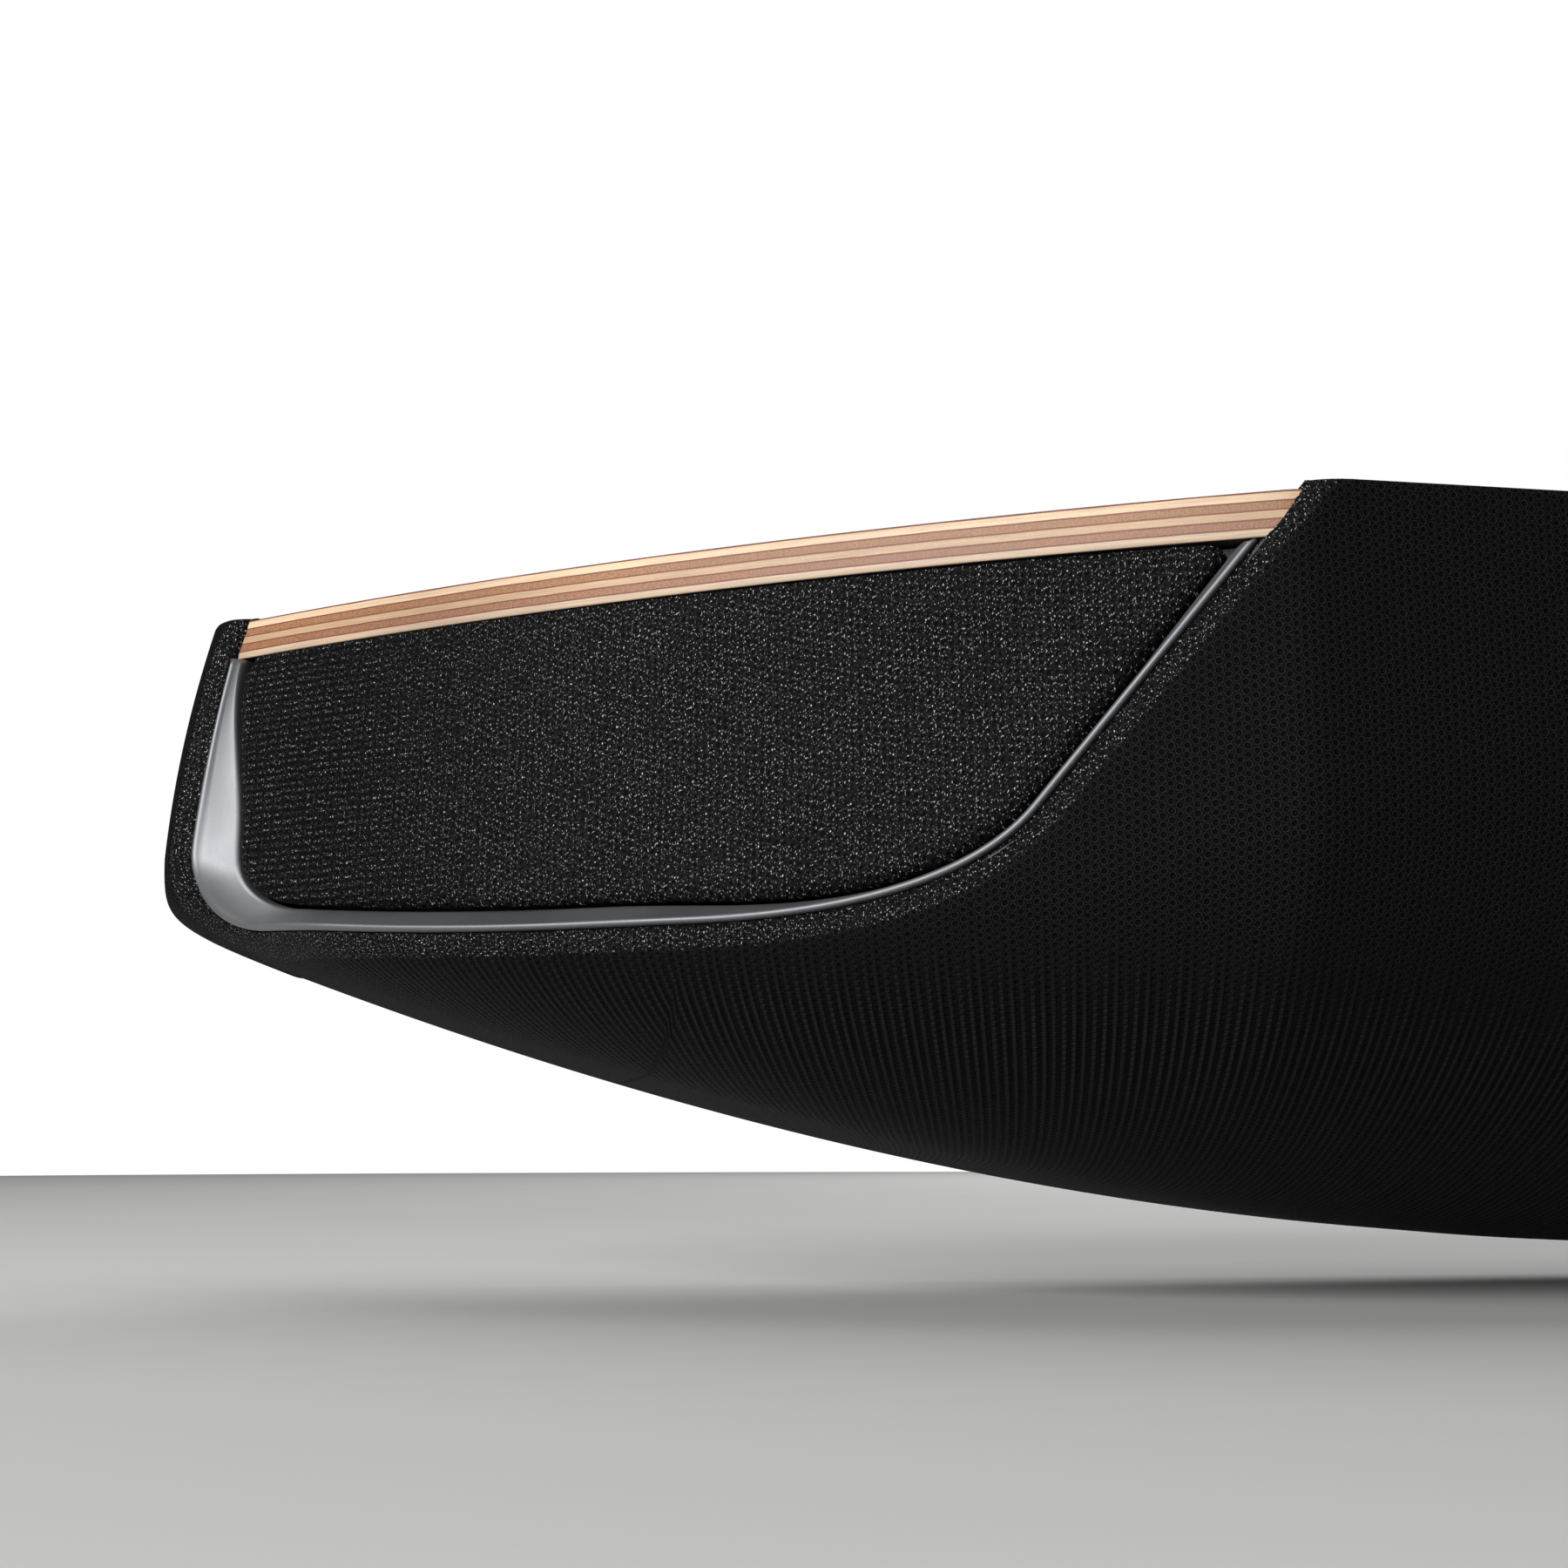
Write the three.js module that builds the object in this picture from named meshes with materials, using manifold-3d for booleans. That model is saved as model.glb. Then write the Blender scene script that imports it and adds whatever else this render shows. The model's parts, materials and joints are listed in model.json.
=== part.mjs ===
// A soundbar shaped like a boat's hull: a knitted sleeve over a moulded tub, a plywood deck on top, and a
// cloth grille in a satin trim at each tapered end. Millimetres. +X along the bar, the front faces -Y, +Z up.
// The origin is on the table under the middle of the bar.
import * as THREE from "three";
import { mergeVertices } from "three/addons/utils/BufferGeometryUtils.js";
import Module from "manifold-3d";

const wasm = await Module();
wasm.setup();

const { degToRad, lerp, smoothstep } = THREE.MathUtils;

// ---------- Driving dimensions ----------

const LENGTH = 992;
const HULL_DEPTH = 140;
const DECK_TOP = 112; // the deck's top face above the table
const DECK_THICK = 6.5;
const DECK_INSET = 1.6; // from the sleeve's outer face to the deck's edge
const RIM_RISE = 1.3; // the sleeve's rolled rim stands this far above the deck
const GAP = 0.3; // between pieces that touch

// Plan outline, from the rear corner round the blunt tip and along the window wall to the straight front.
const REAR_RADIUS = 14;
const NOSE_RADIUS = 12;
const WALL_RADIUS = 561;
const WALL_AT_TIP = 44.4; // degrees between the window wall and the front, at the tip
const WALL_AT_CORNER = 26.3; // and where the wall meets the straight front
const CORNER_RADIUS = 12;

// Sides and underside. Depths are measured down from the deck's top face.
const FLARE = 7; // how far the tip leans out below the rim
const FLARE_DEPTH = 52;
const FLARE_FADE = 180; // the lean dies out over this distance along the wall
const KEEL = 105; // lowest line of the sleeve, along the middle of the bar
const KEEL_AT_TIP = 49;
const KEEL_RUN = 280; // the keel falls from the tip to its lowest over this length
const TURN_AT_NOSE = 40; // where the side starts to turn under
const TURN_AT_WINDOW = 52;
const TURN_AT_MIDDLE = 31;
const ROUND_AT_TIP = 0.51; // share of the hull's depth that the turn takes
const ROUND_AT_MIDDLE = 0.82;
const REAR_PACE = 0.28; // the underside's rear edge moves inboard this much per length of outline at the tip
const SWEEP_POWER = 2.5; // and its sections bend that way mostly near their rear ends

const SLEEVE_THICK = 0.9;
const TUB_INSET = SLEEVE_THICK + 2 * GAP;
const TUB_THICK = 3;

// Window, in distance along the wall and depth below the deck's top face.
const WINDOW_LEFT = 0.5;
const WINDOW_LEAN = 0.05; // sideways per depth, on the edge at the tip
const WINDOW_FLOOR = 56;
const RAKE_END = { along: 174.1, down: 6.4 };
const RAKE_SLOPE = degToRad(49);
const TRIM_LIP = 1.2;
const TRIM_DEPTH = 8;
const PANEL_RECESS = 4;
const PANEL_GAP = 0.8;

// Rear cover and its recessed connector bay.
const COVER = { width: 660, bottom: 26, top: 100, thick: 2.4, proud: 1.6 };
const BAY = { width: 134, height: 30, middle: 60, deep: 14, wall: 1.6 };
const SCREW = { fromEnd: 8, fromEdge: 5, shaft: 1.5, length: 8, head: 3.1, headThick: 1.2, hexagon: 1.3 };
const SCREW_HOLE = { bore: 1.9, sink: 3.5 }; // radii of the hole and of the counterbore for the head

const FRONT = -(HULL_DEPTH + COVER.proud) / 2;
const REAR = FRONT + HULL_DEPTH;
const COVER_OUTER = REAR + COVER.proud;
const COVER_INNER = COVER_OUTER - COVER.thick;

// Front baffle and drivers.
const BAFFLE = { width: 560, bottom: 50, top: 104, thick: 4, face: FRONT + 18.8 };
const SIDE_BAFFLE = { width: 148, bottom: 61, top: 101, thick: 4, face: 13.2, along: 92 };
const WOOFER = { hole: 22.5, flange: 2.5, depth: 34, coil: 10, travel: 3, stretch: 1.7, steps: 18 };
const CENTRE_DRIVER = { hole: 20, flange: 3, depth: 28, coil: 8, travel: 2, stretch: 1, steps: 16 };
const SIDE_DRIVER = { hole: 15.5, flange: 3, depth: 24, coil: 6.5, travel: 1.5, stretch: 1, steps: 14 };
const WOOFER_X = 170;
const SOUND_OPENINGS = [
  { x: -WOOFER_X, halfWidth: 46 },
  { x: 0, halfWidth: 26 },
  { x: WOOFER_X, halfWidth: 46 },
];

// Stand and boards.
const FOOT = { radius: 10, height: 2.6, x: 125, front: -14, rear: 44 };
const PLINTH = { halfWidth: 150, front: -28, rear: 58, radius: 18, top: 24 };
const BOARD_THICK = 1.6;
const BOARD_FACE = REAR - 26.6; // rear face of the upright boards

// ---------- Materials ----------

function finish(color, roughness, metalness = 0) {
  return new THREE.MeshStandardMaterial({ color, roughness, metalness });
}

const PLYWOOD = finish("#c89a6a", 0.5);
const KNIT = finish("#17171a", 0.9);
const GRILLE_KNIT = finish("#202023", 0.9);
const SATIN_TRIM = finish("#77787b", 0.32, 0.8);
const BLACK_PLASTIC = finish("#141416", 0.55);
const BUTTON_PLASTIC = finish("#2b2b2e", 0.4);
const RUBBER = finish("#0d0d0e", 0.85);
const STEEL = finish("#8d9095", 0.35, 0.9);
const ALUMINIUM = finish("#b9bcc0", 0.35, 0.9);
const CONE_PAPER = finish("#26262a", 0.7);
const CIRCUIT = finish("#1d4a33", 0.5);

// ---------- Solids ----------

/** A geometry's solid, with shared corners merged and collapsed triangles left out. */
function toSolid(geometry) {
  const bare = geometry.clone();
  bare.deleteAttribute("normal");
  bare.deleteAttribute("uv");
  const merged = mergeVertices(bare, 1e-4);
  const corners = merged.index.array;
  const kept = [];
  for (let i = 0; i < corners.length; i += 3) {
    const [a, b, c] = corners.slice(i, i + 3);
    if (a !== b && b !== c && c !== a) kept.push(a, b, c);
  }
  const vertProperties = merged.attributes.position.array;
  return new wasm.Manifold(new wasm.Mesh({ numProp: 3, vertProperties, triVerts: new Uint32Array(kept) }));
}

function toGeometry(solid) {
  const { vertProperties, triVerts } = solid.getMesh();
  const geometry = new THREE.BufferGeometry();
  geometry.setAttribute("position", new THREE.BufferAttribute(vertProperties, 3));
  geometry.setIndex(new THREE.BufferAttribute(triVerts, 1));
  geometry.computeVertexNormals();
  return geometry;
}

/** The first geometry with the others cut out of it. */
function cut(geometry, ...tools) {
  const solid = tools.reduce((left, tool) => left.subtract(toSolid(tool)), toSolid(geometry));
  return toGeometry(solid);
}

function mesh(name, geometry, material) {
  const made = new THREE.Mesh(geometry, material);
  made.name = name;
  return made;
}

/** A geometry from points and the corner numbers of its triangles. */
function fromFaces(points, faces) {
  const geometry = new THREE.BufferGeometry().setFromPoints(points);
  geometry.setIndex(faces);
  geometry.computeVertexNormals();
  return geometry;
}

/** A box from its lowest and highest corners. */
function block(low, high) {
  const size = high.map((value, axis) => value - low[axis]);
  const middle = high.map((value, axis) => (value + low[axis]) / 2);
  return new THREE.BoxGeometry(...size).translate(...middle);
}

/** A turned body about the Y axis, from a profile in radius and y that runs round the section either way. */
function turned(profile, steps) {
  const points = profile.map(([radius, y]) => new THREE.Vector2(radius, y));
  if (THREE.ShapeUtils.area(points) < 0) points.reverse();
  return new THREE.LatheGeometry(points, steps);
}

/** The same geometry reflected to the other end of the bar. */
function mirrored(geometry) {
  const other = geometry.index ? geometry.toNonIndexed() : geometry.clone();
  const { position } = other.attributes;
  const corner = new THREE.Vector3();
  const flipped = [];
  for (let i = 0; i < position.count; i += 3) {
    for (const j of [i, i + 2, i + 1]) {
      corner.fromBufferAttribute(position, j);
      flipped.push(new THREE.Vector3(-corner.x, corner.y, corner.z));
    }
  }
  const geometryOut = new THREE.BufferGeometry().setFromPoints(flipped);
  geometryOut.computeVertexNormals();
  return geometryOut;
}

// ---------- Plan outline ----------

/** The legs of the left half's outline. On each, the heading turns evenly from one angle to the next. */
function outlineLegs() {
  const [tip, corner] = [degToRad(WALL_AT_TIP), degToRad(WALL_AT_CORNER)];
  const [west, south, east] = [Math.PI, 1.5 * Math.PI, 2 * Math.PI];
  const wallDrop = WALL_RADIUS * (Math.cos(corner) - Math.cos(tip));
  const cornerDrop = CORNER_RADIUS * (1 - Math.cos(corner));
  const endFlat = HULL_DEPTH - REAR_RADIUS - NOSE_RADIUS * Math.cos(tip) - wallDrop - cornerDrop;
  const legs = [
    { length: REAR_RADIUS * (south - west), from: west, to: south, steps: 3 },
    { length: endFlat, from: south, to: south, steps: 2 },
    { length: NOSE_RADIUS * (east - tip - south), from: south, to: east - tip, steps: 3 },
    { length: WALL_RADIUS * (tip - corner), from: east - tip, to: east - corner, steps: 9 },
    { length: CORNER_RADIUS * corner, from: east - corner, to: east, steps: 2 },
  ];
  let place = { x: REAR_RADIUS + FLARE - LENGTH / 2, y: REAR, at: 0 };
  for (const leg of legs) {
    Object.assign(leg, place);
    place = { ...alongLeg(leg, leg.length), at: leg.at + leg.length };
  }
  legs.push({ length: -place.x, from: east, to: east, steps: 4, ...place });
  return legs;
}

/** The place a distance along one leg, which is an arc or, where the heading is steady, a straight. */
function alongLeg(leg, distance) {
  const turn = leg.to - leg.from;
  if (turn === 0) {
    return { x: leg.x + distance * Math.cos(leg.from), y: leg.y + distance * Math.sin(leg.from) };
  }
  const radius = leg.length / turn;
  const heading = leg.from + distance / radius;
  return {
    x: leg.x + radius * (Math.sin(heading) - Math.sin(leg.from)),
    y: leg.y - radius * (Math.cos(heading) - Math.cos(leg.from)),
  };
}

const LEGS = outlineLegs();
const [REAR_LEG, , NOSE_LEG, WALL_LEG, , FRONT_LEG] = LEGS;
const WALL_START = WALL_LEG.at;

/** A point of the plan outline, a distance from the rear corner, with its outward direction and heading. */
function outline(distance) {
  const leg = LEGS.findLast((each) => distance >= each.at) ?? REAR_LEG;
  const place = alongLeg(leg, distance - leg.at);
  const heading = lerp(leg.from, leg.to, (distance - leg.at) / leg.length);
  return { ...place, heading, outX: Math.sin(heading), outY: -Math.cos(heading) };
}

/** Distances along the left half's outline where the hull's sections stand. */
function leftStations() {
  const stations = LEGS.flatMap((leg) =>
    Array.from({ length: leg.steps }, (_, step) => leg.at + (leg.length * step) / leg.steps),
  );
  return [...stations, FRONT_LEG.at + FRONT_LEG.length];
}

// ---------- Hull ----------

const fadeIn = (value, from, to) => smoothstep(value, from, to);
const fadeOut = (value, from, to) => 1 - smoothstep(value, from, to);

/** How far the side leans out at a distance along the outline and a depth. */
function flareAt(distance, down) {
  const fade = fadeIn(distance, 0, NOSE_LEG.at) * fadeOut(distance, WALL_START, WALL_START + FLARE_FADE);
  const share = Math.min(Math.max(down, 0) / FLARE_DEPTH, 1);
  return FLARE * fade * (1 - (1 - share) ** 2);
}

/** The depth at which the side starts to turn under. */
function turnDepth(distance) {
  const end = lerp(TURN_AT_NOSE, TURN_AT_WINDOW, fadeIn(distance, WALL_START - 5, WALL_START + 30));
  return lerp(end, TURN_AT_MIDDLE, fadeIn(distance, WALL_START + 100, FRONT_LEG.at + 60));
}

function roundShare(distance) {
  return lerp(ROUND_AT_TIP, ROUND_AT_MIDDLE, fadeIn(distance, WALL_START + 100, FRONT_LEG.at + 120));
}

/** The keel's depth: lowest along the middle, and rising in a parabola to each tip. */
function keelDepth(x) {
  const toGo = 1 - Math.min((LENGTH / 2 - Math.abs(x)) / KEEL_RUN, 1);
  return KEEL - (KEEL - KEEL_AT_TIP) * toGo ** 2;
}

/** A point of the side, set in from the sleeve's outer face by an inset. */
function sidePoint(distance, down, inset) {
  const plan = outline(distance);
  const out = flareAt(distance, down) - inset;
  return new THREE.Vector3(plan.x + plan.outX * out, plan.y + plan.outY * out, DECK_TOP - down);
}

/** A point of the underside, a share of the way from the turn to the hull's rear face. */
function undersidePoint(distance, share, inset) {
  const turn = turnDepth(distance);
  const start = sidePoint(distance, turn, inset);
  const face = sidePoint(distance, turn, 0);
  const sweep = Math.max(REAR_LEG.x + REAR_PACE * distance - face.x, 0) * share ** SWEEP_POWER;
  const rounded = Math.min(share / roundShare(distance), 1);
  const drop = keelDepth(face.x + sweep) - inset - turn;
  const z = DECK_TOP - turn - drop * Math.sqrt(1 - (1 - rounded) ** 2);
  return new THREE.Vector3(start.x + sweep, lerp(start.y, REAR - inset, share), z);
}

/** A point of the sleeve's face at any depth down to the keel, on the side or where it has turned under. */
function facePoint(distance, down) {
  if (down <= turnDepth(distance)) return sidePoint(distance, down, 0);
  let [shallow, deep] = [0, roundShare(distance)];
  for (let halving = 0; halving < 24; halving += 1) {
    const middle = (shallow + deep) / 2;
    const above = undersidePoint(distance, middle, 0).z > DECK_TOP - down;
    [shallow, deep] = above ? [middle, deep] : [shallow, middle];
  }
  return undersidePoint(distance, shallow, 0);
}

const SIDE_SHARES = [0, 0.3, 0.65];
const TURN_STEPS = 5;

/** One section of the hull, from the rim down the side and under to the rear face. */
function hullColumn(distance, inset, rim) {
  const turn = turnDepth(distance);
  const side = SIDE_SHARES.map((share) => sidePoint(distance, lerp(rim, turn, share), inset));
  const shares = Array.from({ length: TURN_STEPS + 1 }, (_, step) => {
    return roundShare(distance) * (1 - Math.cos((Math.PI / 2) * (step / TURN_STEPS)));
  });
  return [...side, ...[...shares, 1].map((share) => undersidePoint(distance, share, inset))];
}

/** The whole hull as one closed body, flat on top at the rim's depth and flat at the rear. */
function hullBody(inset, rim) {
  const left = leftStations().map((distance) => hullColumn(distance, inset, rim));
  const right = left.slice(0, -1).reverse();
  const reflect = (point) => new THREE.Vector3(-point.x, point.y, point.z);
  const columns = [...left, ...right.map((column) => column.map(reflect))];
  const points = columns.flat();
  const rows = left[0].length;
  const [last, bottom] = [columns.length - 1, rows - 1];
  const at = (column, row) => column * rows + row;
  const faces = [];
  for (let i = 0; i < last; i += 1) {
    for (let j = 0; j < bottom; j += 1) {
      faces.push(at(i, j), at(i, j + 1), at(i + 1, j + 1));
      faces.push(at(i, j), at(i + 1, j + 1), at(i + 1, j));
    }
  }
  const fan = (middle, ring) => {
    const hub = points.push(middle) - 1;
    ring.forEach((corner, i) => faces.push(hub, corner, ring[(i + 1) % ring.length]));
  };
  fan(new THREE.Vector3(0, 0, DECK_TOP - rim), columns.map((_, i) => at(i, 0)));
  const down = Array.from({ length: rows }, (_, j) => at(last, j));
  const along = columns.map((_, i) => at(last - i, bottom)).slice(1, -1);
  const up = Array.from({ length: rows }, (_, j) => at(0, bottom - j));
  fan(new THREE.Vector3(0, REAR - inset, DECK_TOP - KEEL / 2), [...down, ...along, ...up]);
  return fromFaces(points, faces);
}

/** A flat-topped slab with the hull's plan outline. */
function planSlab(inset, low, high) {
  const left = leftStations().map((distance) => sidePoint(distance, 0, inset));
  const right = left.slice(0, -1).reverse().map((point) => new THREE.Vector3(-point.x, point.y, point.z));
  return slab([...left, ...right], low, high);
}

/** A slab between two heights over a ring of points that goes anticlockwise as seen from above. */
function slab(ring, low, high) {
  const level = [...ring, new THREE.Vector3()];
  const points = [low, high].flatMap((z) => level.map((point) => point.clone().setZ(z)));
  const [count, lift] = [ring.length, ring.length + 1];
  const faces = [];
  for (let i = 0; i < count; i += 1) {
    const j = (i + 1) % count;
    faces.push(count, j, i, count + lift, i + lift, j + lift, i, j, j + lift, i, j + lift, i + lift);
  }
  return fromFaces(points, faces);
}

// ---------- Windows ----------

/** The window's edge as a path: down from a level at the tip, along the floor and up the rake again. */
function windowPath(level) {
  const onRake = (down) => RAKE_END.along + (RAKE_END.down - down) / Math.tan(RAKE_SLOPE);
  const atTip = (down) => WINDOW_LEFT - WINDOW_LEAN * down;
  const path = new THREE.Path();
  path.moveTo(atTip(level), level);
  path.lineTo(atTip(38), 38);
  path.bezierCurveTo(atTip(48), 48, 4, 52, 15, 53);
  path.bezierCurveTo(35, 55, 55, WINDOW_FLOOR, 75, WINDOW_FLOOR);
  path.lineTo(92, WINDOW_FLOOR);
  path.bezierCurveTo(116, WINDOW_FLOOR, onRake(52), 52, onRake(42), 42);
  path.lineTo(onRake(level), level);
  return path;
}

const WINDOW_STEPS = 22;

/** Points of the window's edge, each moved outwards by a growth that may change along the edge. */
function windowEdge(level, growth) {
  const path = windowPath(level);
  return Array.from({ length: WINDOW_STEPS + 1 }, (_, step) => {
    const share = step / WINDOW_STEPS;
    const point = path.getPoint(share);
    const tangent = path.getTangent(share);
    const grown = growth(share);
    const along = point.x - tangent.y * grown;
    const down = step === 0 || step === WINDOW_STEPS ? level : Math.max(point.y + tangent.x * grown, level);
    return { along, down };
  });
}

/** The trim's inner face: narrow by the deck, broad at the tip's lower corner, slim along the rake. */
function trimWidth(share) {
  const corner = fadeIn(share, 0, 0.17) * fadeOut(share, 0.19, 0.34);
  const floor = fadeIn(share, 0.19, 0.34) * fadeOut(share, 0.5, 0.7);
  return 1.6 + 5.2 * corner + 1.4 * floor;
}

/** A point of the window, set in level from the sleeve's face by an inset. */
function onWall({ along, down }, inset) {
  const { outX, outY } = outline(WALL_START + along);
  const inward = new THREE.Vector3(-outX, -outY, 0);
  return facePoint(WALL_START + along, down).addScaledVector(inward, inset);
}

const panelGrowth = (extra) => (share) => -trimWidth(share) - PANEL_GAP - extra;

/** A curved plate that fills the window's outline between two insets. */
function windowPlate(level, growth, outer, inner) {
  const edge = windowEdge(level, growth);
  const rowShares = [0, 0.5, 1];
  const [first, last] = [edge[0], edge[WINDOW_STEPS]];
  const points = [];
  for (const inset of [outer, inner]) {
    edge.forEach((low, i) => {
      const high = { along: lerp(first.along, last.along, i / WINDOW_STEPS), down: level };
      for (const share of rowShares) {
        const place = { along: lerp(high.along, low.along, share), down: lerp(high.down, low.down, share) };
        points.push(onWall(place, inset));
      }
    });
  }
  const [rows, sheet] = [rowShares.length, edge.length * rowShares.length];
  const at = (i, j) => i * rows + j;
  const faces = [];
  const quad = (a, b, c, d) => faces.push(a, b, c, a, c, d);
  for (let i = 0; i < WINDOW_STEPS; i += 1) {
    for (let j = 0; j < rows - 1; j += 1) {
      quad(at(i, j), at(i, j + 1), at(i + 1, j + 1), at(i + 1, j));
      quad(sheet + at(i + 1, j), sheet + at(i + 1, j + 1), sheet + at(i, j + 1), sheet + at(i, j));
    }
    quad(at(i + 1, 0), sheet + at(i + 1, 0), sheet + at(i, 0), at(i, 0));
    quad(at(i, rows - 1), sheet + at(i, rows - 1), sheet + at(i + 1, rows - 1), at(i + 1, rows - 1));
  }
  return fromFaces(points, faces);
}

/** The satin trim: a U of changing width that lines the window's edge and stops under the deck. */
function trimGeometry() {
  const level = DECK_THICK + GAP;
  const section = [
    { width: () => 0, inset: 0.3 },
    { width: () => TRIM_LIP, inset: 0 },
    { width: trimWidth, inset: PANEL_RECESS + 0.6 },
    { width: trimWidth, inset: TRIM_DEPTH },
    { width: () => 0, inset: TRIM_DEPTH },
  ];
  const sides = section.length;
  const edges = section.map(({ width }) => windowEdge(level, (share) => -width(share)));
  const points = edges[0].flatMap((_, i) => section.map(({ inset }, k) => onWall(edges[k][i], inset)));
  const faces = [];
  for (let i = 0; i < WINDOW_STEPS; i += 1) {
    for (let k = 0; k < sides; k += 1) {
      const [a, b] = [i * sides + k, i * sides + ((k + 1) % sides)];
      faces.push(a, a + sides, b + sides, a, b + sides, b);
    }
  }
  const end = WINDOW_STEPS * sides;
  for (let k = 1; k < sides - 1; k += 1) {
    faces.push(0, k, k + 1, end, end + k + 1, end + k);
  }
  return fromFaces(points, faces);
}

/** The hole that a window makes in a shell, from well outside it to well inside. */
const windowHole = (level, grow) => windowPlate(level, () => grow, -8, 16);

function windowPieces() {
  const level = DECK_THICK + GAP;
  const frame = cut(
    windowPlate(level, panelGrowth(0.6), PANEL_RECESS + 1.2, PANEL_RECESS + 3.4),
    windowPlate(level + 6, panelGrowth(7), PANEL_RECESS - 1, PANEL_RECESS + 6),
  );
  return [
    ["window_trim", trimGeometry(), SATIN_TRIM],
    ["grille_cloth", windowPlate(level, panelGrowth(0), PANEL_RECESS, PANEL_RECESS + 0.9), GRILLE_KNIT],
    ["grille_frame", frame, BLACK_PLASTIC],
  ].flatMap(([name, geometry, material]) => [
    mesh(`${name}_left`, geometry, material),
    mesh(`${name}_right`, mirrored(geometry), material),
  ]);
}

// ---------- Shells ----------

const coverBlock = (grow, near, far) =>
  block(
    [-COVER.width / 2 - grow, near, COVER.bottom - grow],
    [COVER.width / 2 + grow, far, COVER.top + grow],
  );

/** The places of the rear cover's screws, at its corners. */
const SCREW_PLACES = [-1, 1].flatMap((side) =>
  [COVER.bottom + SCREW.fromEdge, COVER.top - SCREW.fromEdge].map((z) => ({
    x: side * (COVER.width / 2 - SCREW.fromEnd),
    z,
  })),
);

const screwBore = ({ x, z }, radius, near, far) =>
  new THREE.CylinderGeometry(radius, radius, far - near, 10).translate(x, (near + far) / 2, z);

function hullSleeve() {
  const hole = windowHole(-6, 2 * GAP);
  return cut(
    hullBody(0, -RIM_RISE),
    hullBody(SLEEVE_THICK, -RIM_RISE - 4),
    hole,
    mirrored(hole),
    coverBlock(0.4, REAR - 5, REAR + 5),
  );
}

/** The moulded tub, open on top, with sound openings in front and a service opening at the rear. */
function hullTub() {
  const rim = DECK_THICK + GAP;
  const hole = windowHole(rim - 4, 4 * GAP);
  const sound = SOUND_OPENINGS.map(({ x, halfWidth }) =>
    block([x - halfWidth, FRONT - 5, BAFFLE.bottom + 12], [x + halfWidth, BAFFLE.face - 3, BAFFLE.top - 5]),
  );
  return cut(
    hullBody(TUB_INSET, rim),
    hullBody(TUB_INSET + TUB_THICK, rim - 3),
    hole,
    mirrored(hole),
    ...sound,
    coverBlock(-17, REAR - 12, REAR + 5),
    ...SCREW_PLACES.map((place) => screwBore(place, SCREW_HOLE.bore, REAR - 12, REAR + 2)),
  );
}

function rearCover() {
  const bay = block(
    [-BAY.width / 2, COVER_INNER - 1, BAY.middle - BAY.height / 2],
    [BAY.width / 2, COVER_OUTER + 1, BAY.middle + BAY.height / 2],
  );
  return cut(
    coverBlock(0, COVER_INNER, COVER_OUTER),
    bay,
    ...SCREW_PLACES.map((place) => screwBore(place, SCREW_HOLE.bore, COVER_INNER - 1, COVER_OUTER + 1)),
    ...SCREW_PLACES.map((place) => screwBore(place, SCREW_HOLE.sink, REAR, COVER_OUTER + 1)),
  );
}

/** The cover's screws: a shaft and a flat head with a hexagon socket. */
function coverScrews() {
  const { shaft, length, head, headThick, hexagon } = SCREW;
  const top = length + headThick;
  const body = turned([[0, 0], [shaft, 0], [shaft, length], [head, length], [head, top], [0, top]], 12);
  const socket = new THREE.CylinderGeometry(hexagon, hexagon, headThick, 6).translate(0, top, 0);
  const screwBody = cut(body, socket);
  const ends = ["left_low", "left_high", "right_low", "right_high"];
  return SCREW_PLACES.map(({ x, z }, i) => {
    const screw = mesh(`cover_screw_${ends[i]}`, screwBody, STEEL);
    screw.position.set(x, REAR + GAP - length, z);
    return screw;
  });
}

/** The moulded stand under the middle, hollowed on top to fit the hull's round underside. */
function plinth() {
  const [x, radius] = [PLINTH.halfWidth - PLINTH.radius, PLINTH.radius];
  const corners = [[-x, PLINTH.rear - radius, 90], [-x, PLINTH.front + radius, 180]];
  corners.push([x, PLINTH.front + radius, 270], [x, PLINTH.rear - radius, 360]);
  const ring = corners.flatMap(([cx, cy, from]) =>
    [0, 30, 60, 90].map((turn) => {
      const angle = degToRad(from + turn);
      return new THREE.Vector3(cx + radius * Math.cos(angle), cy + radius * Math.sin(angle), 0);
    }),
  );
  return cut(slab(ring, FOOT.height + GAP, PLINTH.top), hullBody(-GAP, 0));
}

function feet() {
  const ends = { left: -FOOT.x, right: FOOT.x };
  const rows = { front: FOOT.front, rear: FOOT.rear };
  return Object.entries(ends).flatMap(([end, x]) =>
    Object.entries(rows).map(([row, y]) => {
      const pad = new THREE.CylinderGeometry(FOOT.radius, FOOT.radius, FOOT.height, 20).rotateX(Math.PI / 2);
      return mesh(`rubber_foot_${row}_${end}`, pad.translate(x, y, FOOT.height / 2), RUBBER);
    }),
  );
}

// ---------- Loudspeaker drivers ----------

/** Widens a turned body along X beyond the voice coil, for an oval driver. */
function stretched(geometry, { coil, hole, stretch }) {
  const { position } = geometry.attributes;
  for (let i = 0; i < position.count; i += 1) {
    const radius = Math.hypot(position.getX(i), position.getZ(i));
    position.setX(i, position.getX(i) * lerp(1, stretch, fadeIn(radius, coil + 2, hole - 4)));
  }
  return geometry;
}

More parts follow.
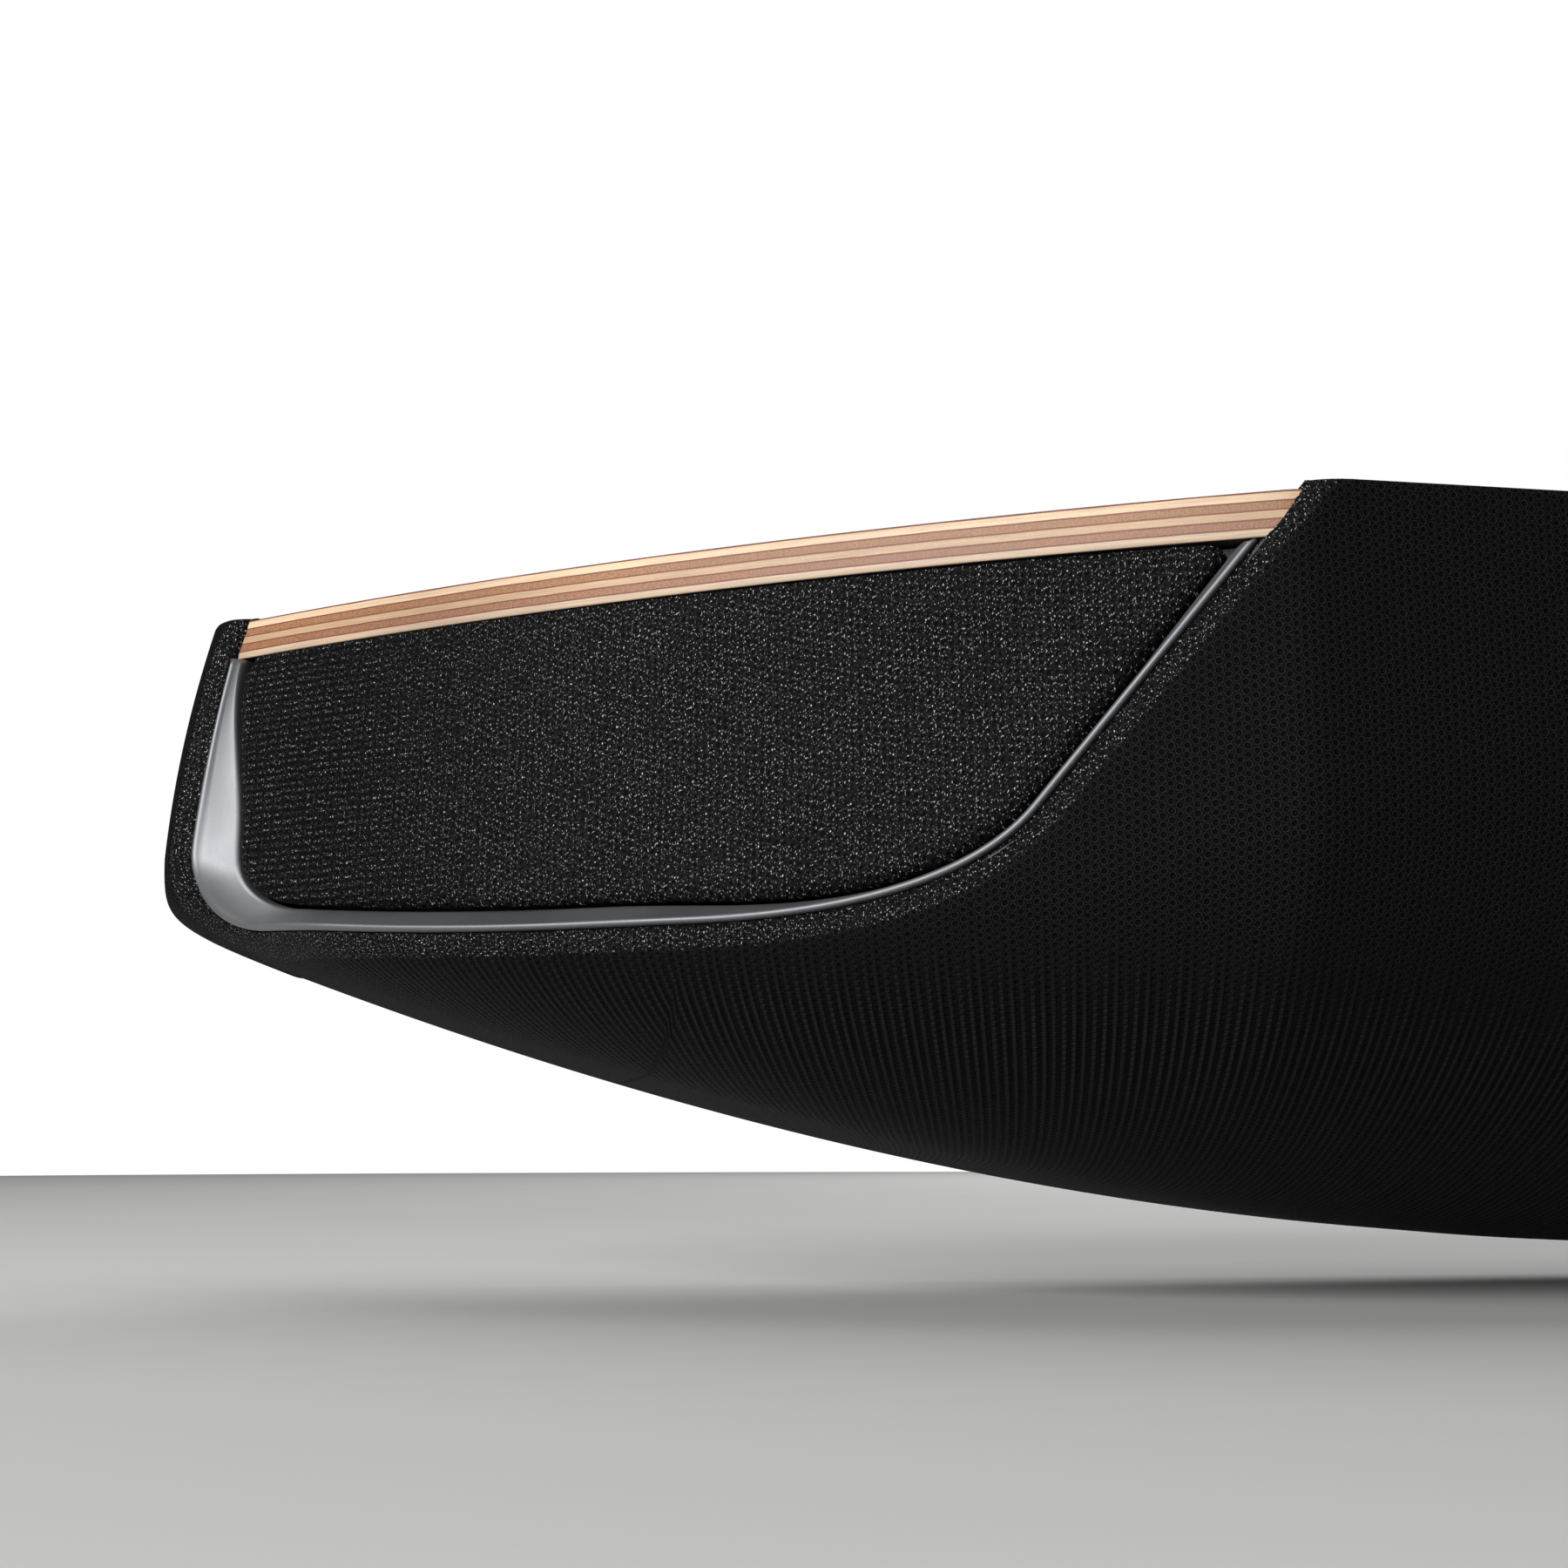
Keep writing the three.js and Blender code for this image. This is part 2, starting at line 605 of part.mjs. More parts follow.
/** A driver's four pieces, with the baffle's face at y = 0 and the cone facing -Y. */
function driver(name, end, spec) {
  const { hole, flange, depth, coil, travel, steps } = spec;
  const back = depth * 0.6; // rear face of the basket, where the magnet starts
  const lip = hole - 2; // inner edge of the basket's front ring
  const cone = lip - 5; // outer edge of the cone
  const shape = (profile) => stretched(turned([...profile, profile[0]], steps), spec);
  const basket = shape([
    [lip, -2.3], [lip, 4], [coil + 3, back - 1.8], [coil + 1.6, back - 1.8], [coil + 1.6, back],
    [coil + 5, back], [hole - 0.5, 5], [hole - 0.5, -GAP], [hole + flange, -GAP], [hole + flange, -2.3],
  ]);
  const surround = shape([
    [cone + GAP, -1.6], [cone + GAP, -0.6], [cone + 1.6, -2.4], [lip - 1.6, -2.4], [lip - GAP, -0.6],
    [lip - GAP, -1.6], [lip - 1.8, -3.6], [cone + 1.8, -3.6],
  ]);
  const coneProfile = [
    [0, 3.5], [0, 5], [coil - 1.2, 6.6], [coil - 1.2, back + 3.5], [coil, back + 3.5], [coil, 8.4],
    [cone, 0.2], [cone, -1.2], [coil, 6.2], [coil * 0.6, 4],
  ];
  const magnetProfile = [
    [0, back + GAP], [0, depth], [coil + 6, depth], [coil + 6, back + GAP], [coil + 0.8, back + GAP],
    [coil + 0.8, back + 5 + travel], [coil - 2, back + 5 + travel], [coil - 2, back + GAP],
  ];
  const group = new THREE.Group();
  group.add(
    mesh(`${name}_basket${end}`, basket, STEEL),
    mesh(`${name}_surround${end}`, surround, RUBBER),
    mesh(`${name}_cone${end}`, shape(coneProfile), CONE_PAPER),
    mesh(`${name}_magnet${end}`, turned([...magnetProfile, magnetProfile[0]], steps), STEEL),
  );
  return group;
}

/** The baffle's round or oval hole for a driver. */
function driverHole(spec, thick) {
  const round = new THREE.CylinderGeometry(spec.hole, spec.hole, thick * 3, 28);
  return stretched(round, { ...spec, coil: 0, hole: 8 });
}

function frontSection() {
  const middle = (BAFFLE.bottom + BAFFLE.top) / 2;
  const drivers = [
    [driver("woofer", "_left", WOOFER), WOOFER, -WOOFER_X],
    [driver("centre_driver", "", CENTRE_DRIVER), CENTRE_DRIVER, 0],
    [driver("woofer", "_right", WOOFER), WOOFER, WOOFER_X],
  ];
  const board = block(
    [-BAFFLE.width / 2, BAFFLE.face, BAFFLE.bottom],
    [BAFFLE.width / 2, BAFFLE.face + BAFFLE.thick, BAFFLE.top],
  );
  const holes = drivers.map(([, spec, x]) => {
    return driverHole(spec, BAFFLE.thick).translate(x, BAFFLE.face, middle);
  });
  drivers.forEach(([group, , x]) => group.position.set(x, BAFFLE.face, middle));
  return [mesh("front_baffle", cut(board, ...holes), BLACK_PLASTIC), ...drivers.map(([group]) => group)];
}

/** The small baffle and driver behind the window at one end: side is -1 at the left and 1 at the right. */
function endSection(side, end) {
  const plan = outline(WALL_START + SIDE_BAFFLE.along);
  const height = SIDE_BAFFLE.top - SIDE_BAFFLE.bottom;
  const board = block(
    [-SIDE_BAFFLE.width / 2, SIDE_BAFFLE.face, 0],
    [SIDE_BAFFLE.width / 2, SIDE_BAFFLE.face + SIDE_BAFFLE.thick, height],
  );
  const hole = driverHole(SIDE_DRIVER, SIDE_BAFFLE.thick).translate(0, SIDE_BAFFLE.face, height / 2);
  const unit = driver("side_driver", end, SIDE_DRIVER);
  unit.position.set(0, SIDE_BAFFLE.face, height / 2);
  const section = new THREE.Group();
  section.add(mesh(`side_baffle${end}`, cut(board, hole), BLACK_PLASTIC), unit);
  section.position.set(-side * plan.x, plan.y, SIDE_BAFFLE.bottom);
  section.rotation.z = -side * plan.heading;
  return section;
}

// ---------- Connectors and boards ----------

// Sockets on the bay's floor: place along X, outer width and height, and the opening's width and height.
const SOCKETS = [
  { name: "power_inlet", x: -46, size: [24, 15], opening: [18, 9.5], material: BLACK_PLASTIC },
  { name: "hdmi_socket", x: -16, size: [18, 9], opening: [14.6, 5.4], material: STEEL },
  { name: "optical_socket", x: 5, size: [11, 11], opening: [7.4, 7.4], material: BLACK_PLASTIC },
  { name: "network_socket", x: 27, size: [17, 15], opening: [12.4, 10], material: STEEL },
];
const SOCKET_BACK = BOARD_FACE + GAP;
const BAY_FLOOR = COVER_INNER - GAP - BAY.deep;
const SOCKET_FRONT = BAY_FLOOR + BAY.wall + 0.8;
const BUTTON = { radius: 2.8, x: { power: 46, pairing: 57 } };

/** A block round the connector bay's height, open or solid, between two depths. */
const bayBlock = (x, [width, height], near, far) =>
  block([x - width / 2, near, BAY.middle - height / 2], [x + width / 2, far, BAY.middle + height / 2]);

const buttonBore = (x, radius, near, far) =>
  new THREE.CylinderGeometry(radius, radius, far - near, 16).translate(x, (near + far) / 2, BAY.middle);

function connectorTray() {
  const far = COVER_INNER - GAP;
  const outer = [BAY.width + 2 * BAY.wall, BAY.height + 2 * BAY.wall];
  return cut(
    bayBlock(0, outer, BAY_FLOOR, far),
    bayBlock(0, [BAY.width, BAY.height], BAY_FLOOR + BAY.wall, far + 1),
    ...SOCKETS.map(({ x, size }) =>
      bayBlock(x, size.map((each) => each + 2 * GAP), BAY_FLOOR - 1, BAY_FLOOR + BAY.wall + 1),
    ),
    ...Object.values(BUTTON.x).map((x) => buttonBore(x, BUTTON.radius + GAP, BAY_FLOOR - 1, BAY_FLOOR + 3)),
  );
}

function sockets() {
  return SOCKETS.map(({ name, x, size, opening, material }) => {
    const shell = bayBlock(x, size, SOCKET_BACK, SOCKET_FRONT);
    return mesh(name, cut(shell, bayBlock(x, opening, SOCKET_BACK + 2, SOCKET_FRONT + 1)), material);
  });
}

function buttons() {
  return Object.entries(BUTTON.x).map(([name, x]) => {
    const cap = buttonBore(x, BUTTON.radius, BAY_FLOOR - 4, BAY_FLOOR + BAY.wall + 1.2);
    return mesh(`${name}_button`, cap, BUTTON_PLASTIC);
  });
}

/** An upright circuit board between two places along the bar and two heights. */
const uprightBoard = (from, to, low, high) =>
  block([from, BOARD_FACE - BOARD_THICK, low], [to, BOARD_FACE, high]);

/** A finned heat sink: a comb outline drawn up through its height. */
function heatSink() {
  const [width, base, fin, fins] = [80, 4, 16, 9];
  const pitch = (width - 2) / (fins - 1);
  const comb = new THREE.Shape();
  comb.moveTo(0, 0);
  for (let i = 0; i < fins; i += 1) {
    const x = i * pitch;
    if (i > 0) comb.lineTo(x, -base);
    comb.lineTo(x, -base - fin);
    comb.lineTo(x + 2, -base - fin);
    if (i < fins - 1) comb.lineTo(x + 2, -base);
  }
  comb.lineTo(width, 0);
  return new THREE.ExtrudeGeometry(comb, { depth: 50, bevelEnabled: false });
}

function electronics() {
  const face = BOARD_FACE - BOARD_THICK - GAP;
  const sink = mesh("heat_sink", heatSink(), ALUMINIUM);
  sink.position.set(180, face, 40);
  const underDeck = DECK_TOP - DECK_THICK - 2 * GAP;
  return [
    mesh("main_board", uprightBoard(-100, 100, 34, 98), CIRCUIT),
    mesh("power_supply_board", uprightBoard(-290, -130, 34, 98), CIRCUIT),
    mesh("amplifier_board", uprightBoard(130, 290, 34, 98), CIRCUIT),
    mesh("transformer", block([-230, face - 28, 42], [-190, face, 78]), STEEL),
    mesh("wireless_module", block([40, face - 3, 74], [66, face, 92]), ALUMINIUM),
    mesh("touch_board", block([-45, -6, underDeck - BOARD_THICK], [45, 18, underDeck]), CIRCUIT),
    sink,
  ];
}

// ---------- Assembly ----------

const soundbar = new THREE.Group();
soundbar.add(
  mesh("plywood_deck", planSlab(DECK_INSET, DECK_TOP - DECK_THICK, DECK_TOP), PLYWOOD),
  mesh("hull_sleeve", hullSleeve(), KNIT),
  mesh("hull_tub", hullTub(), BLACK_PLASTIC),
  mesh("rear_cover", rearCover(), BLACK_PLASTIC),
  mesh("connector_tray", connectorTray(), BLACK_PLASTIC),
  mesh("base_plinth", plinth(), BLACK_PLASTIC),
  ...windowPieces(),
  ...frontSection(),
  endSection(-1, "_left"),
  endSection(1, "_right"),
  ...sockets(),
  ...buttons(),
  ...electronics(),
  ...coverScrews(),
  ...feet(),
);

export default soundbar;
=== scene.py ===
"""Looks for the soundbar: its knitted sleeve, plywood deck, cloth windows, satin trims and driver surrounds.

The hull is worked out in millimetres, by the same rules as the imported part, and meshes are made in metres.
Places are (along, down): the distance along the window wall from its tip, and the depth below the deck's top.
"""
import json
import math

import bmesh
import bpy
import numpy as np
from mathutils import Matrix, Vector


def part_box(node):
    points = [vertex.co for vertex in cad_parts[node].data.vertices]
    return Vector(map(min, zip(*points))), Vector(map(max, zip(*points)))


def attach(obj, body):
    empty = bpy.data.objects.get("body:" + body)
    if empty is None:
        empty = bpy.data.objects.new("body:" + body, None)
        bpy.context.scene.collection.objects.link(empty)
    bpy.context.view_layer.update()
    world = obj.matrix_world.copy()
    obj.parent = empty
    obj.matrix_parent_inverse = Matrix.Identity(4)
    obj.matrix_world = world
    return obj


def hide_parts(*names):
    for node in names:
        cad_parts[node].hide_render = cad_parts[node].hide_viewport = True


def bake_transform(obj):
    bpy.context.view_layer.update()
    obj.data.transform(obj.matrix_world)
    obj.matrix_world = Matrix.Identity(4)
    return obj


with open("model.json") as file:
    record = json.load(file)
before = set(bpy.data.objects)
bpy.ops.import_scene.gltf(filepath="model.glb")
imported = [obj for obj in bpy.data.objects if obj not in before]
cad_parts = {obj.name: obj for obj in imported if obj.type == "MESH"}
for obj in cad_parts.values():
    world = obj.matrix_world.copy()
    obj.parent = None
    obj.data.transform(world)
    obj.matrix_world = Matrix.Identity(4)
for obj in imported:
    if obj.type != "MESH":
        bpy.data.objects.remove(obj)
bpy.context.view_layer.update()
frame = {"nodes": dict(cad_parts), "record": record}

# ---------- Driving dimensions, in millimetres ----------

MM = 0.001  # a millimetre in the scene's metres
FRONT, REAR = (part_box("hull_sleeve")[i].y / MM for i in (0, 1))
DECK_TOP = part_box("plywood_deck")[1].z / MM
DECK_THICK = DECK_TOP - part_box("plywood_deck")[0].z / MM
LENGTH = 992
HULL_DEPTH = REAR - FRONT
DECK_INSET = 1.6  # from the sleeve's face to the deck's edge
GAP = 0.3
CHASSIS = "chassis"

# The plan outline: a flat end, a nose, the long curved window wall and a corner to the straight front.
REAR_RADIUS = 14
NOSE_RADIUS = 12
WALL_RADIUS = 561
WALL_AT_TIP = math.radians(44.4)  # the wall's angle to the front, at its two ends
WALL_AT_CORNER = math.radians(26.3)
CORNER_RADIUS = 12

FLARE = 7  # the side stands out by this below the deck at the tip
FLARE_DEPTH = 52
FLARE_FADE = 180
KEEL = 105  # depth of the hull's lowest line, in the middle and at the tip
KEEL_AT_TIP = 49
KEEL_RUN = 280  # and the length over which it sinks
TURN_AT_NOSE = 40  # depth at which the side turns under
TURN_AT_WINDOW = 52
TURN_AT_MIDDLE = 31
ROUND_AT_TIP = 0.51  # share of the way to the rear over which the underside is round
ROUND_AT_MIDDLE = 0.82
REAR_PACE = 0.28  # the rear face's columns are closer together than the front's, by this share
SWEEP_POWER = 2.5  # how late the underside's columns turn inboard
SWEEP_EASE = 12

RIM_AT_TIP = 0.4  # the sleeve's rim above the deck
RIM_AT_MIDDLE = 1.3
REAR_ROUND = 5  # the sleeve's bend from the underside up to the rear face
ROLL_WIDTH = 5.2  # the sleeve's edge round a window rolls in over this width
ROLL_DROP = 2.1
HEM_DEPTH = 2.4

WINDOW_LEFT = 0.5
WINDOW_LEAN = 0.05
WINDOW_FLOOR = 56
TIP_FOOT = 38  # depths at which the window's straight ends stop
RAKE_FOOT = 42
RAKE_END = (174.1, 6.4)
RAKE_SLOPE = math.radians(49)
TRIM_SLIM = 1.6  # width of the trim's inner face by the deck and up the rake
TRIM_AT_CORNER = 5.2  # and what is added at the tip's corner and along the floor
TRIM_ON_FLOOR = 1.5
TRIM_BACK = 7.5
PANEL_RECESS = 3.6
RECESS_AT_DECK = 1.9  # the hull flares out, so the panel lies less deep by the deck
PANEL_GAP = 0.8
PANEL_ROLL = 3.0
PANEL_DROP = 1.7
PANEL_HEM = 1.6
TUCK = 2.0  # how far the panel's curve is taken on behind the deck
LAP = 4.2  # how far the sleeve laps over the deck's end at the tip

# ---------- Plan outline ----------


def lerp(a, b, share):
    return a + (b - a) * share


def smooth(value, low, high):
    share = np.clip((value - low) / (high - low), 0, 1)
    return share * share * (3 - 2 * share)


def eased_above_zero(value, ease):
    """The value where it is above zero and nought below, with a round bend between."""
    return np.where(value > ease, value, np.clip(value + ease, 0, None) ** 2 / (4 * ease))


def along_leg(leg, distance):
    """The place a distance along one leg, which is an arc or, where the heading is steady, a straight."""
    turn = leg["to"] - leg["from"]
    if turn == 0:
        return leg["x"] + distance * math.cos(leg["from"]), leg["y"] + distance * math.sin(leg["from"])
    radius = leg["length"] / turn
    heading = leg["from"] + distance / radius
    x = leg["x"] + radius * (np.sin(heading) - math.sin(leg["from"]))
    y = leg["y"] - radius * (np.cos(heading) - math.cos(leg["from"]))
    return x, y


def outline_legs():
    """The legs of the left half's outline, from the rear corner round the tip to the middle of the front."""
    tip, corner = WALL_AT_TIP, WALL_AT_CORNER
    west, south, east = math.pi, 1.5 * math.pi, 2 * math.pi
    wall_drop = WALL_RADIUS * (math.cos(corner) - math.cos(tip))
    corner_drop = CORNER_RADIUS * (1 - math.cos(corner))
    end_flat = HULL_DEPTH - REAR_RADIUS - NOSE_RADIUS * math.cos(tip) - wall_drop - corner_drop
    lengths = (REAR_RADIUS * (south - west), end_flat, NOSE_RADIUS * (east - tip - south),
               WALL_RADIUS * (tip - corner), CORNER_RADIUS * corner)
    headings = (west, south, south, east - tip, east - corner, east)
    x, y, at = REAR_RADIUS + FLARE - LENGTH / 2, REAR, 0
    legs = []
    for length, start, end in zip(lengths, headings, headings[1:]):
        legs.append({"length": length, "from": start, "to": end, "x": x, "y": y, "at": at})
        x, y = along_leg(legs[-1], length)
        at += length
    return [*legs, {"length": -x, "from": east, "to": east, "x": x, "y": y, "at": at}]


LEGS = outline_legs()
REAR_LEG, _, NOSE_LEG, WALL_LEG, _, FRONT_LEG = LEGS
WALL_START = WALL_LEG["at"]
OUTLINE_END = FRONT_LEG["at"] + FRONT_LEG["length"]


def outline(distance):
    """x, y and heading of the plan outline at distances from the rear corner."""
    x, y, heading = (np.zeros_like(distance) for _ in range(3))
    for leg in LEGS:
        on = (distance >= leg["at"]) | (leg is REAR_LEG)
        step = distance[on] - leg["at"]
        x[on], y[on] = along_leg(leg, step)
        heading[on] = lerp(leg["from"], leg["to"], step / leg["length"])
    return x, y, heading


# ---------- Hull ----------


def flare_at(distance, down):
    """How far the side stands out from the plan outline at a depth."""
    grown = smooth(distance, 0, NOSE_LEG["at"])
    faded = smooth(distance, WALL_START, WALL_START + FLARE_FADE)
    bulge = 1 - (1 - np.clip(down / FLARE_DEPTH, 0, 1)) ** 2
    return FLARE * grown * (1 - faded) * bulge


def turn_depth(distance):
    """The depth at which the side turns under."""
    end = lerp(TURN_AT_NOSE, TURN_AT_WINDOW, smooth(distance, WALL_START - 5, WALL_START + 30))
    return lerp(end, TURN_AT_MIDDLE, smooth(distance, WALL_START + 100, FRONT_LEG["at"] + 60))


def round_share(distance):
    """The share of the underside, from the turn, that is round in section."""
    return lerp(ROUND_AT_TIP, ROUND_AT_MIDDLE, smooth(distance, WALL_START + 100, FRONT_LEG["at"] + 120))


def rim_rise(distance):
    """The height of the sleeve's rim above the deck."""
    return lerp(RIM_AT_TIP, RIM_AT_MIDDLE, smooth(distance, WALL_START + 120, FRONT_LEG["at"]))


def keel_depth(x):
    to_go = 1 - np.minimum((LENGTH / 2 - np.abs(x)) / KEEL_RUN, 1)
    return KEEL - (KEEL - KEEL_AT_TIP) * to_go**2


def side_point(distance, down, inset):
    """Points of the hull's side, set in horizontally from the sleeve's face."""
    distance, down, inset = np.broadcast_arrays(*(np.asarray(v, float) for v in (distance, down, inset)))
    x, y, heading = outline(distance)
    out = flare_at(distance, down) - inset
    return np.stack([x + np.sin(heading) * out, y - np.cos(heading) * out, DECK_TOP - down], -1)


def underside_point(distance, share):
    """Points of the underside, a share of the way from the turn to the hull's rear face."""
    turn = turn_depth(distance)
    start = side_point(distance, turn, 0)
    inboard = REAR_LEG["x"] + REAR_PACE * distance - start[..., 0]
    eased = eased_above_zero(inboard, SWEEP_EASE)
    eased = lerp(np.maximum(inboard, 0), eased, smooth(distance, 0, NOSE_LEG["at"]))
    sweep = eased * share**SWEEP_POWER
    rounded = np.minimum(share / round_share(distance), 1)
    x = start[..., 0] + sweep
    drop = keel_depth(x) - turn
    z = DECK_TOP - turn - drop * np.sqrt(1 - (1 - rounded) ** 2)
    return np.stack([x, lerp(start[..., 1], REAR, share), z], -1)


def on_wall(along, down, inset):
    """Points of the sleeve's face at any depth down to the keel, moved horizontally inwards by an inset."""
    along, down, inset = np.broadcast_arrays(*(np.asarray(v, float) for v in (along, down, inset)))
    distance = WALL_START + along
    side = side_point(distance, down, inset)
    shallow, deep = np.zeros_like(along), round_share(distance)
    for _ in range(24):
        middle = (shallow + deep) / 2
        above = underside_point(distance, middle)[..., 2] > DECK_TOP - down
        shallow, deep = np.where(above, middle, shallow), np.where(above, deep, middle)
    under = underside_point(distance, shallow)
    heading = outline(distance)[2]
    under[..., 0] -= np.sin(heading) * inset
    under[..., 1] += np.cos(heading) * inset
    return np.where((down <= turn_depth(distance))[..., None], side, under)


# ---------- Windows ----------


def bezier(points, steps):
    """Places along the cubic curve of four control points, without its end."""
    share = np.linspace(0, 1, steps, endpoint=False)[:, None]
    left = 1 - share
    a, b, c, d = (np.array(point, float) for point in points)
    return left**3 * a + 3 * share * left**2 * b + 3 * share**2 * left * c + share**3 * d


def on_rake(down):
    """The window's raked end at a depth."""
    return RAKE_END[0] + (RAKE_END[1] - down) / math.tan(RAKE_SLOPE)


def at_tip(down):
    """The window's end by the tip at a depth."""
    return WINDOW_LEFT - WINDOW_LEAN * down


def window_edge(level, fine=0.9):
    """The window's edge in even steps: from a level down the tip, along the floor and up the rake."""
    floor = WINDOW_FLOOR
    foot = (on_rake(RAKE_FOOT), RAKE_FOOT)
    corner = [(at_tip(TIP_FOOT), TIP_FOOT), (at_tip(48), 48), (4, 52), (15, 53)]
    toe = [(15, 53), (35, 55), (55, floor), (75, floor)]
    heel = [(92, floor), (116, floor), (on_rake(52), 52), foot]
    curves = [bezier(corner, 40), bezier(toe, 40), bezier(heel, 60)]
    path = np.concatenate([[(at_tip(level), level)], *curves, [foot], [(on_rake(level), level)]])
    run = np.concatenate([[0], np.cumsum(np.linalg.norm(np.diff(path, axis=0), axis=1))])
    even = np.linspace(0, run[-1], int(run[-1] / fine))
    return np.stack([np.interp(even, run, path[:, axis]) for axis in (0, 1)], -1)


def trim_width(share):
    """The width of the trim's inner face, a share of the way along the window's edge."""
    past_corner = smooth(share, 0.16, 0.26)
    corner = smooth(share, 0, 0.15) * (1 - past_corner)
    floor = past_corner * (1 - smooth(share, 0.5, 0.7))
    return TRIM_SLIM + TRIM_AT_CORNER * corner + TRIM_ON_FLOOR * floor


def recess_at(down):
    """How far the panel lies behind the sleeve's face."""
    return lerp(RECESS_AT_DECK, PANEL_RECESS, smooth(down, DECK_THICK, DECK_THICK + 30))


def grown_edge(edge, growth, level):
    """An edge moved outwards by a growth, with its two ends kept on the level line."""
    tangent = np.gradient(edge, axis=0)
    tangent /= np.linalg.norm(tangent, axis=1)[:, None]
    grown = edge + np.stack([-tangent[:, 1], tangent[:, 0]], -1) * np.reshape(growth, (-1, 1))
    grown[:, 1] = np.maximum(grown[:, 1], level)
    return grown


# ---------- Mesh making ----------


def mesh_object(name, points, faces, material, body=CHASSIS, maps=None, flat=False):
    """A piece from points in millimetres and faces, riding on a body, with any maps as its UVs."""
    mesh = bpy.data.meshes.new(name)
    mesh.from_pydata((np.asarray(points) * MM).tolist(), [], [tuple(int(i) for i in face) for face in faces])
    mesh.materials.append(material)
    corners = np.zeros(len(mesh.loops), np.int32)
    mesh.loops.foreach_get("vertex_index", corners)
    for key, places in (maps or {}).items():
        layer = mesh.uv_layers.new(name=key)
        layer.data.foreach_set("uv", np.asarray(places, np.float32)[corners].ravel())
    mesh.polygons.foreach_set("use_smooth", [not flat] * len(mesh.polygons))
    mesh.update()
    piece = bpy.data.objects.new(name, mesh)
    bpy.context.scene.collection.objects.link(piece)
    if body:
        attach(piece, body)
    return piece


def ease_edges(piece, width, segments):
    """Rounds a piece's sharp edges over a width in millimetres."""
    bevel = piece.modifiers.new("eased", "BEVEL")
    bevel.width = width * MM
    bevel.segments = segments
    bevel.limit_method = "ANGLE"
    bevel.angle_limit = math.radians(40)


def grid_faces(columns, rows):
    """Quads of a grid whose points are listed column by column."""
    i, j = np.meshgrid(np.arange(columns - 1), np.arange(rows - 1), indexing="ij")
    corner = (i * rows + j).ravel()
    return np.stack([corner, corner + 1, corner + rows + 1, corner + rows], -1)


def edge_distance(places, edge):
    """Distances from places to a path of straight steps, and the nearest places on it."""
    start, step = edge[:-1], np.diff(edge, axis=0)
    offset = places[:, None] - start
    share = np.clip((offset * step).sum(-1) / (step**2).sum(-1), 0, 1)
    near = start + share[..., None] * step
    gaps = np.linalg.norm(places[:, None] - near, axis=-1)
    best = gaps.argmin(1)
    rows = np.arange(len(places))
    return gaps[rows, best], near[rows, best]


def is_inside(places, ring):
    """Whether places lie inside a closed ring, from the number of its sides to their right."""
    x, y = places[:, :1], places[:, 1:]
    a, b = ring, np.roll(ring, -1, axis=0)
    spans = (a[:, 1] > y) != (b[:, 1] > y)
    rise = np.where(a[:, 1] == b[:, 1], 1, b[:, 1] - a[:, 1])
    return (spans & (x < a[:, 0] + (y - a[:, 1]) * (b[:, 0] - a[:, 0]) / rise)).sum(1) % 2 == 1


def fit_to_edge(places, faces, edge, near_enough, keep_inside=False):
    """Keeps the faces on one side of an edge and moves the corners beside it onto the edge.

    The edge is a closed ring when its inside is kept, and otherwise a path that ends beyond the piece. Gives
    the kept faces, the places, their distances from the edge and which were moved. Places that aren't numbers
    are out of its reach.
    """
    distance = np.full(len(places), np.inf)
    nearest = places.copy()
    near = ~np.isnan(places[:, 0])
    path = np.concatenate([edge, edge[:1]]) if keep_inside else edge
    gaps, nearest[near] = edge_distance(places[near], path)
    distance[near] = np.where(is_inside(places[near], edge) != keep_inside, -gaps, gaps)
    kept = faces[(distance[faces] > near_enough).any(1)]
    moved = np.zeros(len(places), bool)
    moved[kept.ravel()] = True
    moved &= distance <= near_enough
    fitted = np.where(moved[:, None], nearest, places)
    return kept, fitted, np.maximum(distance, 0), moved


def hem(points, faces, moved, inner):
    """The sheet with its fitted edge folded in to a second ring, and the points which that ring repeats."""
    sides = np.concatenate([faces[:, [i, (i + 1) % 4]] for i in range(4)])
    sides = sides[moved[sides].all(1)]
    seen = {tuple(side) for side in sides.tolist()}
    free = [(a, b) for a, b in seen if (b, a) not in seen and a != b]
    ends = sorted({i for side in free for i in side})
    new = {old: len(points) + k for k, old in enumerate(ends)}
    folds = np.array([(b, a, new[a], new[b]) for a, b in free])
    return np.concatenate([points, inner[ends]]), np.concatenate([faces, folds]), ends


def mirrored(points, faces):
    """The same piece at the other end of the bar."""
    return points * np.array([-1, 1, 1]), faces[:, ::-1]


# ---------- Node helpers ----------


